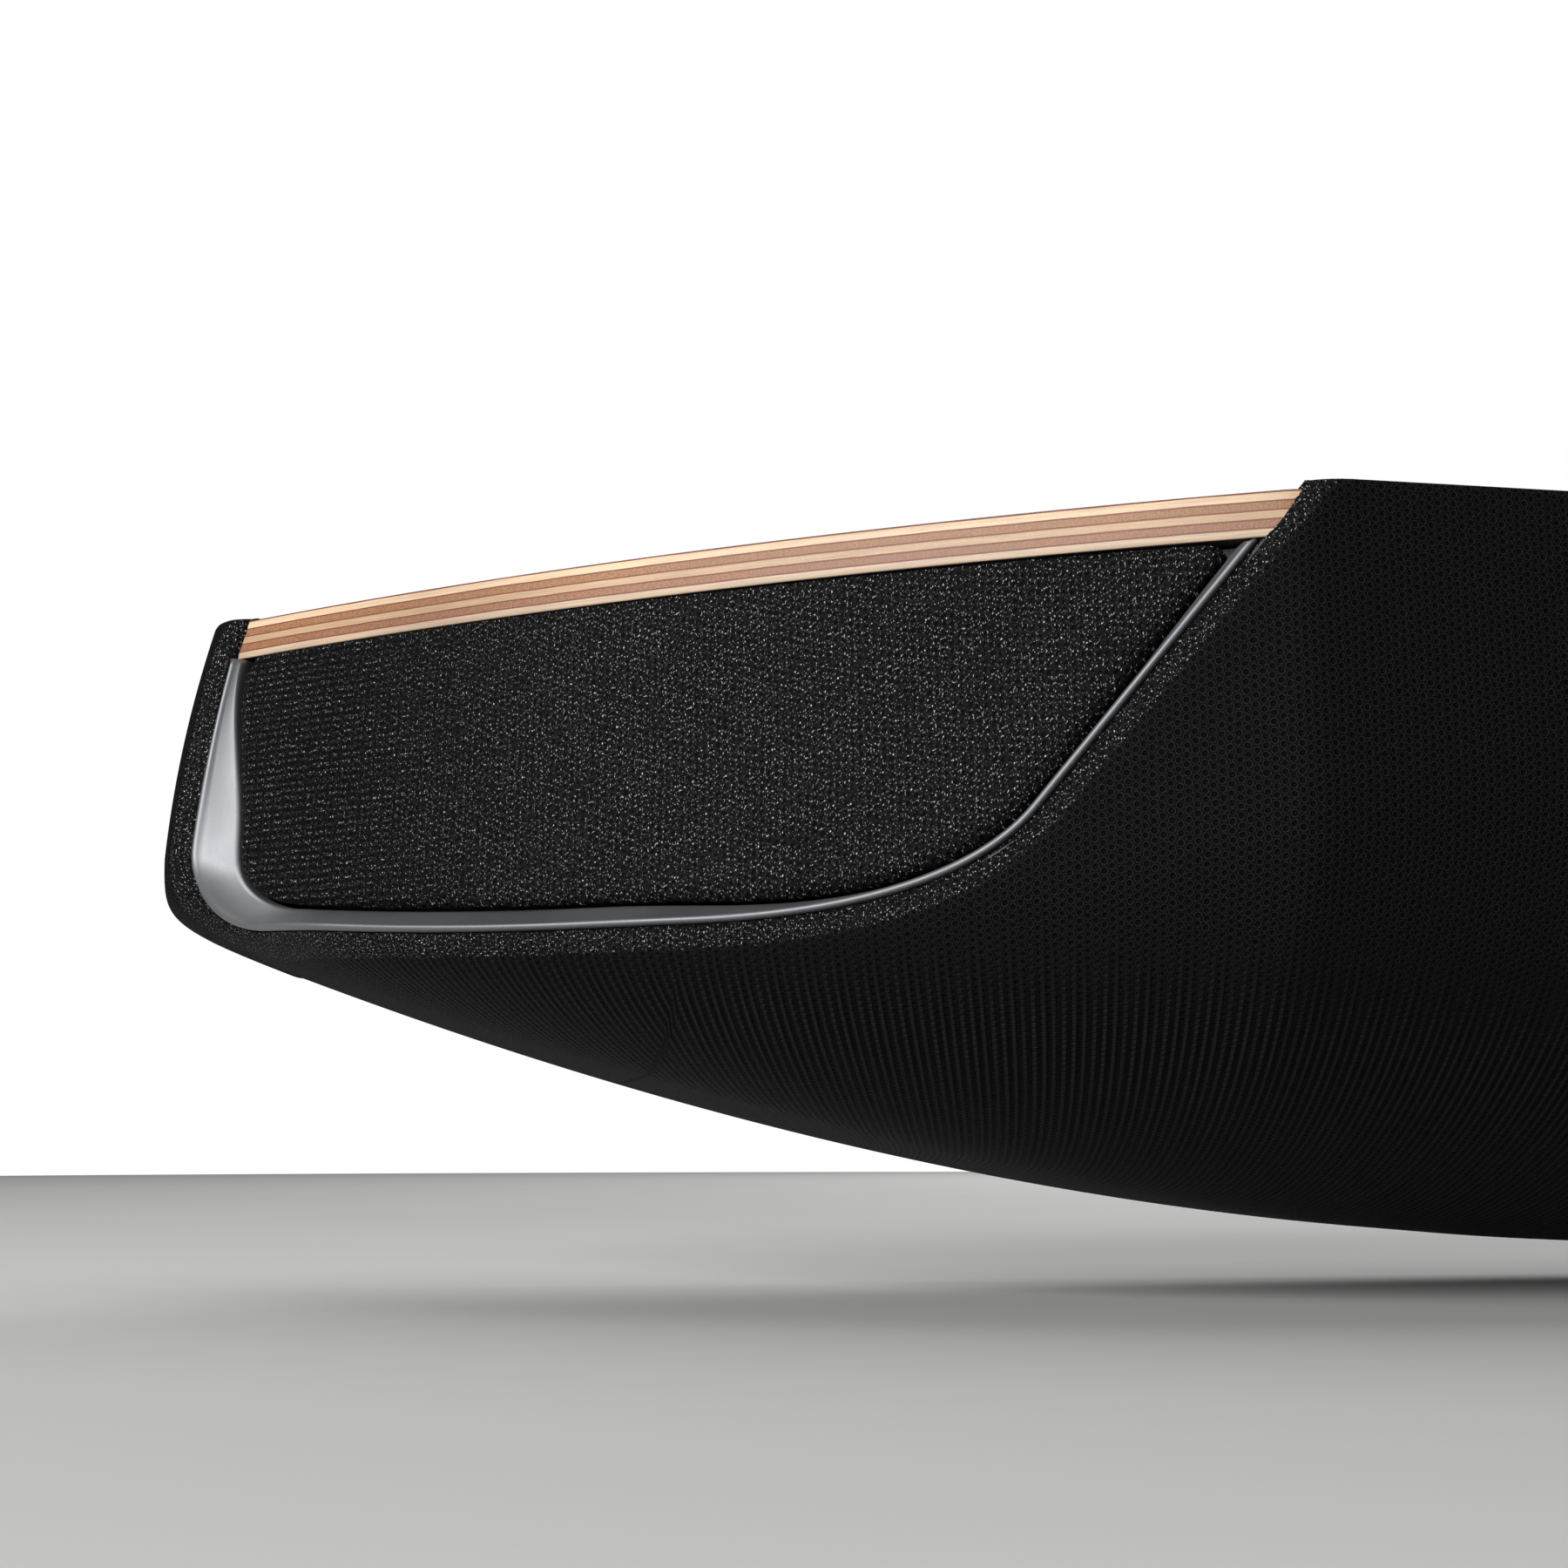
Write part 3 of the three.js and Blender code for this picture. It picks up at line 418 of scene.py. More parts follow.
class Nodes:
    """A material's node tree, with short calls for adding and joining nodes."""

    def __init__(self, name):
        self.material = bpy.data.materials.new(name)
        self.material.use_nodes = True
        self.tree = self.material.node_tree
        self.shader = self.tree.nodes["Principled BSDF"]

    def add(self, kind, settings=None, **inputs):
        node = self.tree.nodes.new(kind)
        for key, value in (settings or {}).items():
            setattr(node, key, value)
        for key, value in inputs.items():
            self.set(node, key, value)
        return node

    def set(self, node, socket, value):
        """Sets or joins a socket, which is named, or numbered as in input0."""
        numbered = socket.startswith("input")
        found = node.inputs[int(socket[5:]) if numbered else socket.replace("_", " ")]
        if isinstance(value, bpy.types.NodeSocket):
            self.tree.links.new(value, found)
        else:
            found.default_value = value

    def place(self):
        """The place on the bar, in metres."""
        return self.add("ShaderNodeTexCoord").outputs["Object"]

    def math(self, operation, a, b=0.0, c=0.0):
        return self.add("ShaderNodeMath", {"operation": operation}, input0=a, input1=b, input2=c).outputs[0]

    def vector(self, operation, a, b=(0, 0, 0), c=(0, 0, 0)):
        node = self.add("ShaderNodeVectorMath", {"operation": operation}, input0=a, input1=b, input2=c)
        return node.outputs["Value" if operation == "LENGTH" else "Vector"]

    def times(self, a, b):
        return self.math("MULTIPLY", a, b)

    def stretch(self, vector, shares):
        return self.vector("MULTIPLY", vector, shares)

    def range(self, value, low, high, to_low=0.0, to_high=1.0):
        return self.add("ShaderNodeMapRange", {"interpolation_type": "SMOOTHSTEP"}, Value=value, From_Min=low,
                        From_Max=high, To_Min=to_low, To_Max=to_high).outputs["Result"]

    def noise(self, vector, scale, detail=2.0, roughness=0.5):
        node = self.add("ShaderNodeTexNoise", Vector=vector, Scale=scale, Detail=detail, Roughness=roughness)
        return node.outputs["Fac"]

    def split(self, vector):
        """The X, Y and Z of a vector."""
        return self.add("ShaderNodeSeparateXYZ", Vector=vector).outputs

    def mix(self, share, a, b):
        return self.add("ShaderNodeMix", {"data_type": "RGBA"}, input0=share, input6=a, input7=b).outputs[2]

    def bump(self, height, distance, normal=None, strength=1.0):
        node = self.add("ShaderNodeBump", Height=height, Distance=distance, Strength=strength)
        if normal is not None:
            self.set(node, "Normal", normal)
        return node.outputs["Normal"]

    def finish(self, **inputs):
        for key, value in inputs.items():
            self.set(self.shader, key, value)
        return self.material


def rgb(red, green, blue):
    """A colour from its display values, from 0 to 255."""
    shares = [value / 255 for value in (red, green, blue)]
    return tuple(((v + 0.055) / 1.055) ** 2.4 if v > 0.04045 else v / 12.92 for v in shares) + (1,)


def darker(colour, share):
    return tuple(value * share for value in colour[:3]) + (1,)


# ---------- Materials ----------

LOOP_ACROSS = 1.15  # knit: distance between columns of loops
LOOP_DOWN = 1.24  # and between the loops of one column
PORE_RADIUS = 0.32
YARN = 0.006  # how pale the yarn is, and the glints painted on its strands
GLINT = 0.62
GLINT_LEVEL = 0.61  # a lower level gives more painted glints
BLACK = (0.0006, 0.0006, 0.0006, 1)
# colour of the painted highlights on the sleeve's rings and rib crests
RING_AND_RIB_HIGHLIGHT = (0.015, 0.015, 0.0155, 1)
RIB = 1.5  # distance between the sleeve's ribs
RIBS_START = 44  # distance down the sleeve at which its ribs start to show, at the tip
RIBS_FULL = 69  # and at which they stand out in full
RIBS_FALL = 0.1  # how much lower both are for each millimetre along from the tip
BORDER = 3.4  # width of the sleeve's unstretched band round a window, painted with glints
COURSES_END = 85  # distance from the tip at which the painted shade between the grille cloth's courses stops


def loose_weave(n):
    """The cloth's own places, as drawn and pulled about a little."""
    place = n.add("ShaderNodeUVMap", {"uv_map": "weave"}).outputs["UV"]
    stray = n.add("ShaderNodeTexNoise", {"noise_dimensions": "2D"}, Vector=place, Scale=0.35, Detail=1.0)
    pull = n.vector("MULTIPLY_ADD", stray.outputs["Color"], (0.5, 0.5, 0), (-0.25, -0.25, 0))
    return place, n.vector("ADD", place, pull)


def stitches(n, place):
    """Distance from the nearest of a knit's staggered round pores."""
    half = (LOOP_ACROSS, LOOP_DOWN / 2, 0.5)
    pores = []
    for shift in ((0, 0, 0), (half[0], half[1], 0)):
        wrapped = n.vector("WRAP", n.vector("ADD", place, shift), half, tuple(-v for v in half))
        pores.append(n.vector("LENGTH", n.stretch(wrapped, (1, 1, 0))))
    return n.math("MINIMUM", *pores)


def waves(n, value, pitch, operation="COSINE"):
    """A wave from -1 to 1 along a value, with its crests a pitch apart."""
    return n.math(operation, n.times(value, 2 * math.pi / pitch))


def knit_colour(n, place, distance):
    """Black loops round pores darkened with painted shade, with short pale strands of filament painted in as
    glints.
    """
    loops = n.range(distance, PORE_RADIUS * 0.4, PORE_RADIUS * 1.5)
    strand = n.noise(n.stretch(place, (4.6, 2.6, 1)), 1.0, 2.0, 0.55)
    drift = n.range(n.noise(place, 0.05, 3.0), 0.3, 0.7, 0.8, 1.15)
    shade = n.times(n.math("MULTIPLY_ADD", loops, 0.9, 0.1), drift)
    # painted shade: the pores' colour is darkened where shade falls into them
    pore = (YARN * 0.08, YARN * 0.08, YARN * 0.08, 1)
    body = n.mix(shade, pore, (YARN, YARN, YARN * 1.03, 1))
    shown = n.math("MULTIPLY_ADD", loops, 0.85, 0.15)
    # painted highlight: strands of filament lit as glints in the colour, dimmed in the pores
    painted_glint = n.times(n.range(strand, GLINT_LEVEL, GLINT_LEVEL + 0.09), shown)
    return n.mix(painted_glint, body, (GLINT, GLINT, GLINT * 1.02, 1)), loops, strand


def finish_knit(n, colour, strand, relief):
    normal = n.bump(strand, 0.0001, n.bump(relief, 0.0002))
    return n.finish(Base_Color=colour, Roughness=n.range(strand, 0.5, 0.7, 0.8, 0.5), Normal=normal,
                    Specular_IOR_Level=0.08)


def sleeve_knit():
    """Knit pulled taut over the hull: painted highlights on dim rings round its pores and on the crests of
    the ribs lower down, and an unstretched band beside a window painted with glints.
    """
    n = Nodes("sleeve_knit")
    place, loose = loose_weave(n)
    distance = stitches(n, loose)
    band_with_glints, loops, strand = knit_colour(n, place, distance)
    across, down, _ = n.split(place)

    depth = n.math("MULTIPLY_ADD", n.math("SUBTRACT", across, WALL_START), -RIBS_FALL, down)
    under = n.range(depth, RIBS_START, RIBS_FULL)
    # painted highlight: the ribs' crests are lit in the colour, as well as raised in the bump
    crest = n.times(n.range(waves(n, across, RIB), -0.5, 0.9), under)
    zigzag = n.range(waves(n, down, LOOP_DOWN / 2, "SINE"), -1, 1, 0.5, 1)
    # painted highlight: lit rings of yarn round the pores, faded where the ribs show
    ring = n.times(n.range(distance, 0.36, 0.46), n.range(distance, 0.5, 0.62, 1, 0))
    ring_highlight = n.times(ring, n.range(strand, 0.35, 0.6, 0.3, 1))
    rings = n.times(ring_highlight, n.math("SUBTRACT", 1, under))
    lit = n.math("MAXIMUM", rings, n.times(crest, zigzag))
    stretched_lit = n.mix(lit, BLACK, RING_AND_RIB_HIGHLIGHT)

    from_window = n.split(n.add("ShaderNodeUVMap", {"uv_map": "border"}).outputs["UV"])["X"]
    fray = n.math("MULTIPLY_ADD", n.noise(place, 0.8, 1.0), 0.8, -0.4)
    # painted highlight: within this band round the window the knit takes the colour with painted glints
    away = n.range(n.math("ADD", from_window, fray), BORDER - 0.25, BORDER + 0.25)
    relief = n.math("MULTIPLY_ADD", crest, 1.6, loops)
    return finish_knit(n, n.mix(away, band_with_glints, stretched_lit), strand, relief)


def grille_knit():
    """Unstretched knit with painted glints, and painted shade in dark lines between its courses by the tip.
    """
    n = Nodes("grille_knit")
    place, loose = loose_weave(n)
    colour, loops, strand = knit_colour(n, place, stitches(n, loose))
    across, down, _ = n.split(loose)
    # painted shade: dark lines between the courses, fading out along from the tip
    course_shade = n.range(waves(n, down, LOOP_DOWN), -0.5, 0.6, 0.12, 1)
    shown = n.math("MAXIMUM", course_shade, n.range(across, 10, COURSES_END))
    return finish_knit(n, n.mix(shown, BLACK, colour), strand, loops)


PLY = 1.25
# From the top face down: the veneer, then five plies of equal thickness.
PLY_COLOURS = [rgb(118, 88, 78), rgb(222, 190, 156), rgb(158, 110, 72), rgb(190, 156, 122), rgb(152, 104, 72),
               rgb(198, 172, 146)]


def ply_colour(n, step):
    """The colour of the ply at a height, counted in plies from the deck's underside."""
    ramp = n.add("ShaderNodeValToRGB", Fac=n.math("DIVIDE", step, DECK_THICK / PLY))
    ramp.color_ramp.interpolation = "CONSTANT"
    stops = ramp.color_ramp.elements
    for k, colour in enumerate(reversed(PLY_COLOURS)):
        stop = stops[0] if k == 0 else stops.new(k * PLY / DECK_THICK)
        stop.color = colour
    stops.remove(stops[-1])
    return ramp.outputs["Color"]


def ply_edges(n, place):
    """Plies seen on their edges, every other one across its grain, with dark glue lines between them."""
    wander = n.noise(n.stretch(place, (60, 60, 60)), 1.0, 3.0)
    wander = n.math("MULTIPLY_ADD", wander, 0.00028, -0.00014)
    height = n.math("ADD", n.split(place)["Z"], wander)
    step = n.math("DIVIDE", n.math("SUBTRACT", height, (DECK_TOP - DECK_THICK) * MM), PLY * MM)
    glue = n.range(n.math("PINGPONG", n.math("MAXIMUM", step, 0.2), 0.5), 0.03, 0.11)
    grain_long = n.noise(n.stretch(place, (90, 90, 3400)), 1.0, 3.0, 0.6)
    grain_end = n.noise(place, 3600, 2.0, 0.7)
    cross = n.range(n.math("PINGPONG", n.math("SUBTRACT", step, 0.5), 1.0), 0.4, 0.6)
    speckle = n.times(n.range(grain_end, 0.3, 0.62, 0.55, 1.1), cross)
    streak = n.times(n.range(grain_long, 0.25, 0.75, 0.8, 1.1), n.math("SUBTRACT", 1.0, cross))
    tone = n.math("ADD", speckle, streak)
    patch = n.range(n.noise(place, 26, 2.0), 0.3, 0.7, 0.86, 1.06)
    shaded = n.vector("SCALE", ply_colour(n, step))
    n.set(shaded.node, "Scale", n.times(tone, patch))
    relief = n.math("ADD", n.times(glue, 0.7), n.times(tone, 0.5))
    return n.mix(glue, rgb(118, 62, 44), shaded), grain_end, relief


def veneer(n, place):
    """Brown wood with its grain along the bar and fine dark pores."""
    rings = n.noise(n.stretch(place, (7, 130, 40)), 1.0, 5.0, 0.62)
    pore = n.noise(n.stretch(place, (160, 2600, 400)), 1.0, 2.0, 0.6)
    wood = n.mix(n.range(rings, 0.32, 0.68), rgb(104, 70, 52), rgb(164, 120, 90))
    return n.mix(n.range(pore, 0.3, 0.42), rgb(70, 44, 32), wood)


def plywood():
    """The deck's board: ply edges all round, a veneer on top and an underside painted near black as shade."""
    n = Nodes("plywood")
    place = n.place()
    edges, grain, relief = ply_edges(n, place)
    up = n.split(n.add("ShaderNodeNewGeometry").outputs["Normal"])["Z"]
    # painted shade: faces that point down are painted near black
    shaded_underside = n.mix(n.range(up, -0.9, -0.6), rgb(16, 14, 13), edges)
    colour = n.mix(n.range(up, 0.75, 0.95), shaded_underside, veneer(n, place))
    return n.finish(Base_Color=colour, Roughness=n.range(grain, 0.3, 0.7, 0.42, 0.58),
                    Normal=n.bump(relief, 0.00006), Coat_Weight=0.12, Coat_Roughness=0.35)


def satin_metal(name, colour, rough, brushed=(900, 900, 900)):
    """Fine-blasted or brushed metal, with slight patches of finish."""
    n = Nodes(name)
    place = n.place()
    blast = n.noise(n.stretch(place, brushed), 6.0, 2.0, 0.6)
    patch = n.noise(place, 45, 3.0)
    uneven = n.range(patch, 0.3, 0.7, rough - 0.03, rough + 0.05)
    return n.finish(Base_Color=n.mix(n.range(patch, 0.35, 0.7), darker(colour, 0.9), colour),
                    Roughness=n.math("ADD", uneven, n.range(blast, 0.3, 0.7, 0, 0.04)), Metallic=1.0,
                    Normal=n.bump(blast, 0.00001, strength=0.6))


def moulded(name, colour, rough, grain=0.00006, size=1500):
    """Moulded plastic or rubber with a fine spark texture and slight unevenness of gloss."""
    n = Nodes(name)
    place = n.place()
    spark = n.add("ShaderNodeTexVoronoi", {"feature": "SMOOTH_F1"}, Vector=place, Scale=size, Smoothness=0.6)
    cloud = n.noise(place, 30, 3.0)
    return n.finish(Base_Color=n.mix(n.range(cloud, 0.3, 0.7), darker(colour, 0.75), colour),
                    Roughness=n.range(cloud, 0.25, 0.75, rough - 0.06, rough + 0.06),
                    Normal=n.bump(spark.outputs["Distance"], grain))


def coated_paper():
    """Loudspeaker cone: dark pulp with fine fibres under a matt coat."""
    n = Nodes("cone_paper")
    place = n.place()
    fibre = n.noise(n.stretch(place, (900, 300, 2500)), 1.0, 4.0, 0.7)
    return n.finish(Base_Color=n.mix(fibre, rgb(22, 22, 25), rgb(52, 52, 58)), Roughness=0.62,
                    Normal=n.bump(fibre, 0.00008))


def circuit():
    """Circuit board: green solder mask over faint square tracks."""
    n = Nodes("circuit")
    place = n.place()
    tracks = n.add("ShaderNodeTexBrick", {"offset": 0.37}, Vector=place, Scale=120.0, Mortar_Size=0.03)
    lines = tracks.outputs["Fac"]
    return n.finish(Base_Color=n.mix(lines, rgb(16, 62, 40), rgb(44, 110, 70)), Roughness=0.35,
                    Normal=n.bump(lines, 0.00004))


# Colour, roughness and, if brushed, the fineness of the marks along each axis.
METALS = {
    "satin_trim": (rgb(142, 143, 146), 0.56),
    "steel": (rgb(176, 178, 182), 0.3, (900, 900, 60)),
    "aluminium": (rgb(205, 207, 210), 0.36, (900, 60, 900)),
    "contact_gold": (rgb(226, 184, 104), 0.26),
}
# Colour, roughness, and the depth and fineness of the spark texture.
MOULDINGS = {
    "black_plastic": (rgb(26, 26, 28), 0.55),
    "socket_plastic": (rgb(18, 18, 19), 0.38, 0.00001),
    "button_plastic": (rgb(78, 78, 82), 0.4, 0.00002),
    "rubber": (rgb(20, 20, 21), 0.8, 0.0001, 900),
}
MATERIALS = {
    "sleeve_knit": sleeve_knit(),
    "grille_knit": grille_knit(),
    "plywood": plywood(),
    "cone_paper": coated_paper(),
    "circuit": circuit(),
    **{name: satin_metal(name, *finish) for name, finish in METALS.items()},
    **{name: moulded(name, *finish) for name, finish in MOULDINGS.items()},
}

# ---------- Sleeve ----------

COLUMNS = (14, 12, 14, 172, 8)  # the sleeve's columns on each leg of the outline before the front
FRONT_COLUMNS = 96
SIDE_ROWS = 46
ROUND_ROWS = 40
FLAT_ROWS = 11
BEND_ROWS = 5
REAR_ROWS = 24
# The rim's fold, from inside to outside: insets from the sleeve's face and depths below the rim.
RIM_FOLD = [(1.35, 2.0), (1.3, 0.8), (1.05, 0.25), (0.65, 0.0), (0.25, 0.2)]
FOLD_END = 0.75
FRONT_ROWS = len(RIM_FOLD) + SIDE_ROWS + ROUND_ROWS
CUT_START = -6  # level above the rim from which the sleeve is cut out at the window
REAR_GAP = 0.4  # between the rear cover and the sleeve's opening
BEYOND_MIDDLE = 60
FAR_FROM_WINDOW = 50  # no greater distance from the window's edge is told apart


def sleeve_stations():
    """Distances along the outline of the sleeve's columns: close by the window, wider in the middle."""
    fine = [leg["at"] + leg["length"] * np.arange(count) / count for leg, count in zip(LEGS, COLUMNS)]
    middle = FRONT_LEG["at"] + FRONT_LEG["length"] * np.linspace(0, 1, FRONT_COLUMNS) ** 1.35
    return np.concatenate([*fine, middle])


def sleeve_grid(s):
    """The sleeve's left half as a grid. Each column goes from the rim down, under and up the rear face."""
    s = s[:, None]
    rim, turn = -rim_rise(s), turn_depth(s)
    rows = [side_point(s, rim + below, inset) for inset, below in RIM_FOLD]
    rows.append(side_point(s, lerp(rim + FOLD_END, turn, np.linspace(0, 1, SIDE_ROWS)), 0))
    depth = REAR - side_point(s, turn, 0)[..., 1]
    bend = REAR_ROUND * (1 - np.exp(-0.4 * depth / REAR_ROUND))
    flat_end = 1 - bend / np.maximum(depth, 1e-6)
    theta = math.pi / 2 * (np.arange(1, ROUND_ROWS + 1) / ROUND_ROWS) ** 1.5
    rows.append(underside_point(s, round_share(s) * (1 - np.cos(theta))))
    rows.append(underside_point(s, lerp(round_share(s), flat_end, np.arange(1, FLAT_ROWS + 1) / FLAT_ROWS)))
    angle = np.arange(1, BEND_ROWS + 1) / BEND_ROWS * math.pi / 2
    bent = underside_point(s, 1 - bend * (1 - np.sin(angle)) / np.maximum(depth, 1e-6))
    bent[..., 2] += bend * (1 - np.cos(angle))
    rows.append(bent)
    foot = bent[:, -1:]
    top = DECK_TOP + RIM_AT_TIP
    climb = np.repeat(foot, REAR_ROWS, 1)
    climb[..., 2] = lerp(foot[..., 2], top - FOLD_END, np.arange(1, REAR_ROWS + 1) / REAR_ROWS)
    rows.append(climb)
    rows += [foot * [1, 1, 0] + [0, -inset, top - below] for inset, below in reversed(RIM_FOLD)]
    return np.concatenate([row.reshape(len(s), -1, 3) for row in rows], 1)


def weave_places(s, points):
    """The cloth's own places: across its columns of loops and down them.

    The columns run square to the wall, and turn square to the front over a stretch by the corner.
    """
    heading = outline(s)[2]
    settle_start, settle_end = FRONT_LEG["at"] - 90, FRONT_LEG["at"] + 60
    settled = lerp(2 * math.pi - WALL_AT_CORNER, 2 * math.pi, smooth(s, settle_start, settle_end))
    heading = np.where(s > settle_start, settled, heading)
    first = len(RIM_FOLD)
    offset = points - points[:, first : first + 1]
    tangent = np.stack([np.cos(heading), np.sin(heading)], -1)[:, None]
    inward = np.stack([-np.sin(heading), np.cos(heading)], -1)[:, None]
    across = s[:, None] + (offset[..., :2] * tangent).sum(-1)
    deep = (offset[..., :2] * inward).sum(-1)
    steps = np.hypot(np.diff(deep, axis=1), np.diff(points[..., 2], axis=1))
    down = np.concatenate([np.zeros((len(s), 1)), np.cumsum(steps, 1)], 1)
    return np.stack([across, down], -1)


def sleeve_cut():
    """The edge along which the sleeve is cut out at the window: by the deck's end it laps over the deck."""
    edge = grown_edge(window_edge(CUT_START), 0.2, CUT_START)
    at_deck_end = edge[:, 0] < 20
    lap = LAP * (1 - smooth(edge[:, 1], -2, 9))
    meet = DECK_INSET * (1 - smooth(edge[:, 1], 2, 14))
    edge[:, 0] += at_deck_end * (lap - meet)
    return edge


def rear_opening():
    """The edge, in x and z, of the sleeve's opening for the rear cover."""
    low, high = (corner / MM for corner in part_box("rear_cover"))
    left, bottom, top = low.x - REAR_GAP, low.z - REAR_GAP, high.z + REAR_GAP
    return np.array([(BEYOND_MIDDLE, top), (left, top), (left, bottom), (BEYOND_MIDDLE, bottom)], float)


def sleeve():
    """The knitted sleeve: open over the windows and the rear cover, with its edges rolled in.

    Gives the left half's points and faces, the cloth's own places and the distances from the window's edge.
    """
    s = sleeve_stations()
    grid = sleeve_grid(s)
    columns, rows = grid.shape[:2]
    points, weave = grid.reshape(-1, 3), weave_places(s, grid).reshape(-1, 2)
    along, down = np.repeat(s - WALL_START, rows), DECK_TOP - points[:, 2]
    row = np.tile(np.arange(rows), columns)
    insets = np.zeros(rows)
    insets[: len(RIM_FOLD)] = [inset for inset, _ in RIM_FOLD]
    inset = np.tile(insets, columns)

    beside = (row < FRONT_ROWS) & (along > -12) & (along < 200) & (down < 70)
    places = np.where(beside[:, None], np.stack([along, down], -1), np.nan)
    faces, fitted, distance, moved = fit_to_edge(places, grid_faces(columns, rows), sleeve_cut(), 0.35)
    roll = np.clip(1 - distance / ROLL_WIDTH, 0, 1)
    near = beside & (roll > 0)
    drop = (inset + ROLL_DROP * roll**2.2)[near]
    points[near] = on_wall(*fitted[near].T, drop)
    weave[near] += fitted[near] - places[near]
    inner = points.copy()
    inner[near] = on_wall(*fitted[near].T, drop + HEM_DEPTH)
    border = np.stack([np.minimum(distance, FAR_FROM_WINDOW), np.zeros_like(distance)], -1)
    points, faces, ends = hem(points, faces, moved, inner)
    weave = np.concatenate([weave, weave[ends] - [0, HEM_DEPTH]])
    border = np.concatenate([border, border[ends]])

    on_rear = np.zeros(len(points), bool)
    on_rear[: columns * rows] = row >= FRONT_ROWS
    on_rear &= points[:, 1] > REAR - 0.01
    places = np.where(on_rear[:, None], points[:, [0, 2]], np.nan)
    faces, fitted, _, moved = fit_to_edge(places, faces, rear_opening(), 0.6)
    points[moved, 0], points[moved, 2] = fitted[moved].T
    return points, faces, weave, border


def join_halves(points, faces, weave, border):
    """Both ends of the sleeve, joined in the middle, with its two maps."""
    other, flipped = mirrored(points, faces)
    across = weave * [-1, 1] + [2 * OUTLINE_END, 0]
    maps = {"weave": np.concatenate([weave, across]), "border": np.concatenate([border, border])}
    return np.concatenate([points, other]), np.concatenate([faces, flipped + len(points)]), maps


def weld(piece, apart):
    """Joins a piece's points that lie no further apart than this, and drops the ones that no face uses."""
    edit = bmesh.new()
    edit.from_mesh(piece.data)
    bmesh.ops.remove_doubles(edit, verts=edit.verts, dist=apart)
    loose = [v for v in edit.verts if not v.link_faces]
    bmesh.ops.delete(edit, geom=loose, context="VERTS")
    edit.to_mesh(piece.data)
    edit.free()


def add_sleeve():
    points, faces, maps = join_halves(*sleeve())
    piece = mesh_object("knit_sleeve", points, faces, MATERIALS["sleeve_knit"], maps=maps)
    weld(piece, 0.02 * MM)
    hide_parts("hull_sleeve")


# ---------- Window pieces ----------

PANEL_PITCH = 0.95  # between the grille cloth's grid lines
# The trim's outer lip: widths in from the window's edge and insets from the sleeve's face.
LIP = [(0, TRIM_BACK), (0, 2.0), (0.06, 1.45), (0.3, 1.12), (0.62, 1.1), (0.9, 1.3), (1.05, 1.6)]
SCOOP_STEPS = 8


def round_corner(ring, radius):
    """A ring whose first corner, between its last and first sides, is a curve."""
    corner, last = ring[0], ring[-1]
    rest = ring[1:][np.linalg.norm(ring[1:] - corner, axis=1) >= radius]
    back = corner + (last - corner) / np.linalg.norm(last - corner) * radius
    share = np.linspace(0, 1, 9)[:, None]
    curve = (1 - share) ** 2 * back + 2 * share * (1 - share) * corner + share**2 * rest[0]
    return np.concatenate([curve, rest[1:]])


def grille_cloth():
    """The cloth over the inset grille, with its edge rolled back round the frame behind it."""
    level = DECK_THICK + 0.35
    edge = window_edge(level)
    ring = grown_edge(edge, -trim_width(np.linspace(0, 1, len(edge))) - PANEL_GAP, level)
    ring = round_corner(round_corner(ring[::-1], 6)[::-1], 4)
    low, high = ring.min(0) - 2, ring.max(0) + 2
    across, downs = (np.arange(low[axis], high[axis], PANEL_PITCH) for axis in (0, 1))
    places = np.stack(np.meshgrid(across, downs, indexing="ij"), -1).reshape(-1, 2)
    faces = grid_faces(len(across), len(downs))
    faces, fitted, _, moved = fit_to_edge(places, faces, ring, 0.3, keep_inside=True)
    behind_deck = np.where(ring[:, 1:] < level + 0.5, ring - [0, TUCK], ring)
    from_edge = edge_distance(fitted, np.concatenate([behind_deck, behind_deck[:1]]))[0]
    roll = np.clip(1 - from_edge / PANEL_ROLL, 0, 1)
    drop = recess_at(fitted[:, 1]) + PANEL_DROP * (1 - np.sqrt(1 - roll**2))
    points, inner = (on_wall(*fitted.T, inset) for inset in (drop, drop + PANEL_HEM))
    lean = 0.0022 * np.maximum(fitted[:, 0] - 40, 0) ** 2
    weave = np.stack([fitted[:, 0], fitted[:, 1] + lean], -1)
    points, faces, ends = hem(points, faces, moved, inner)
    return points, faces, np.concatenate([weave, weave[ends]])


def tube_faces(count, sides, closed):
    """Quads round a bar whose points are listed ring by ring. A closed bar's last ring joins its first."""
    faces = []
    for this in range(count if closed else count - 1):
        here, there = this * sides, (this + 1) % count * sides
        pairs = [(k, (k + 1) % sides) for k in range(sides)]
        faces += [(here + k, here + after, there + after, there + k) for k, after in pairs]
    return faces


def trim():
    """The satin trim: a fine outer lip, and a scooped inner face whose width changes round the window."""
    level = DECK_THICK + GAP
    edge = window_edge(level, 1.1)
    width = trim_width(np.linspace(0, 1, len(edge)))
    lip_width, lip_inset = LIP[-1]
    depth = 0.6 + 1.5 * (recess_at(edge[:, 1]) - RECESS_AT_DECK)
    section = [(np.full_like(width, across), inset) for across, inset in LIP]
    for share in np.linspace(0, 1, SCOOP_STEPS + 1)[1:]:
        hollow = lerp(share, math.sin(share * math.pi / 2), 0.3)
        section.append((lerp(lip_width, width, share), lip_inset + depth * hollow))
    section += [(width + 0.15, 2.1 + depth), (width + 0.15, TRIM_BACK)]
    points = np.stack([on_wall(*grown_edge(edge, -across, level).T, inset) for across, inset in section], 1)
    count, sides = points.shape[:2]
    return points.reshape(-1, 3), np.array(tube_faces(count, sides, closed=False)), sides


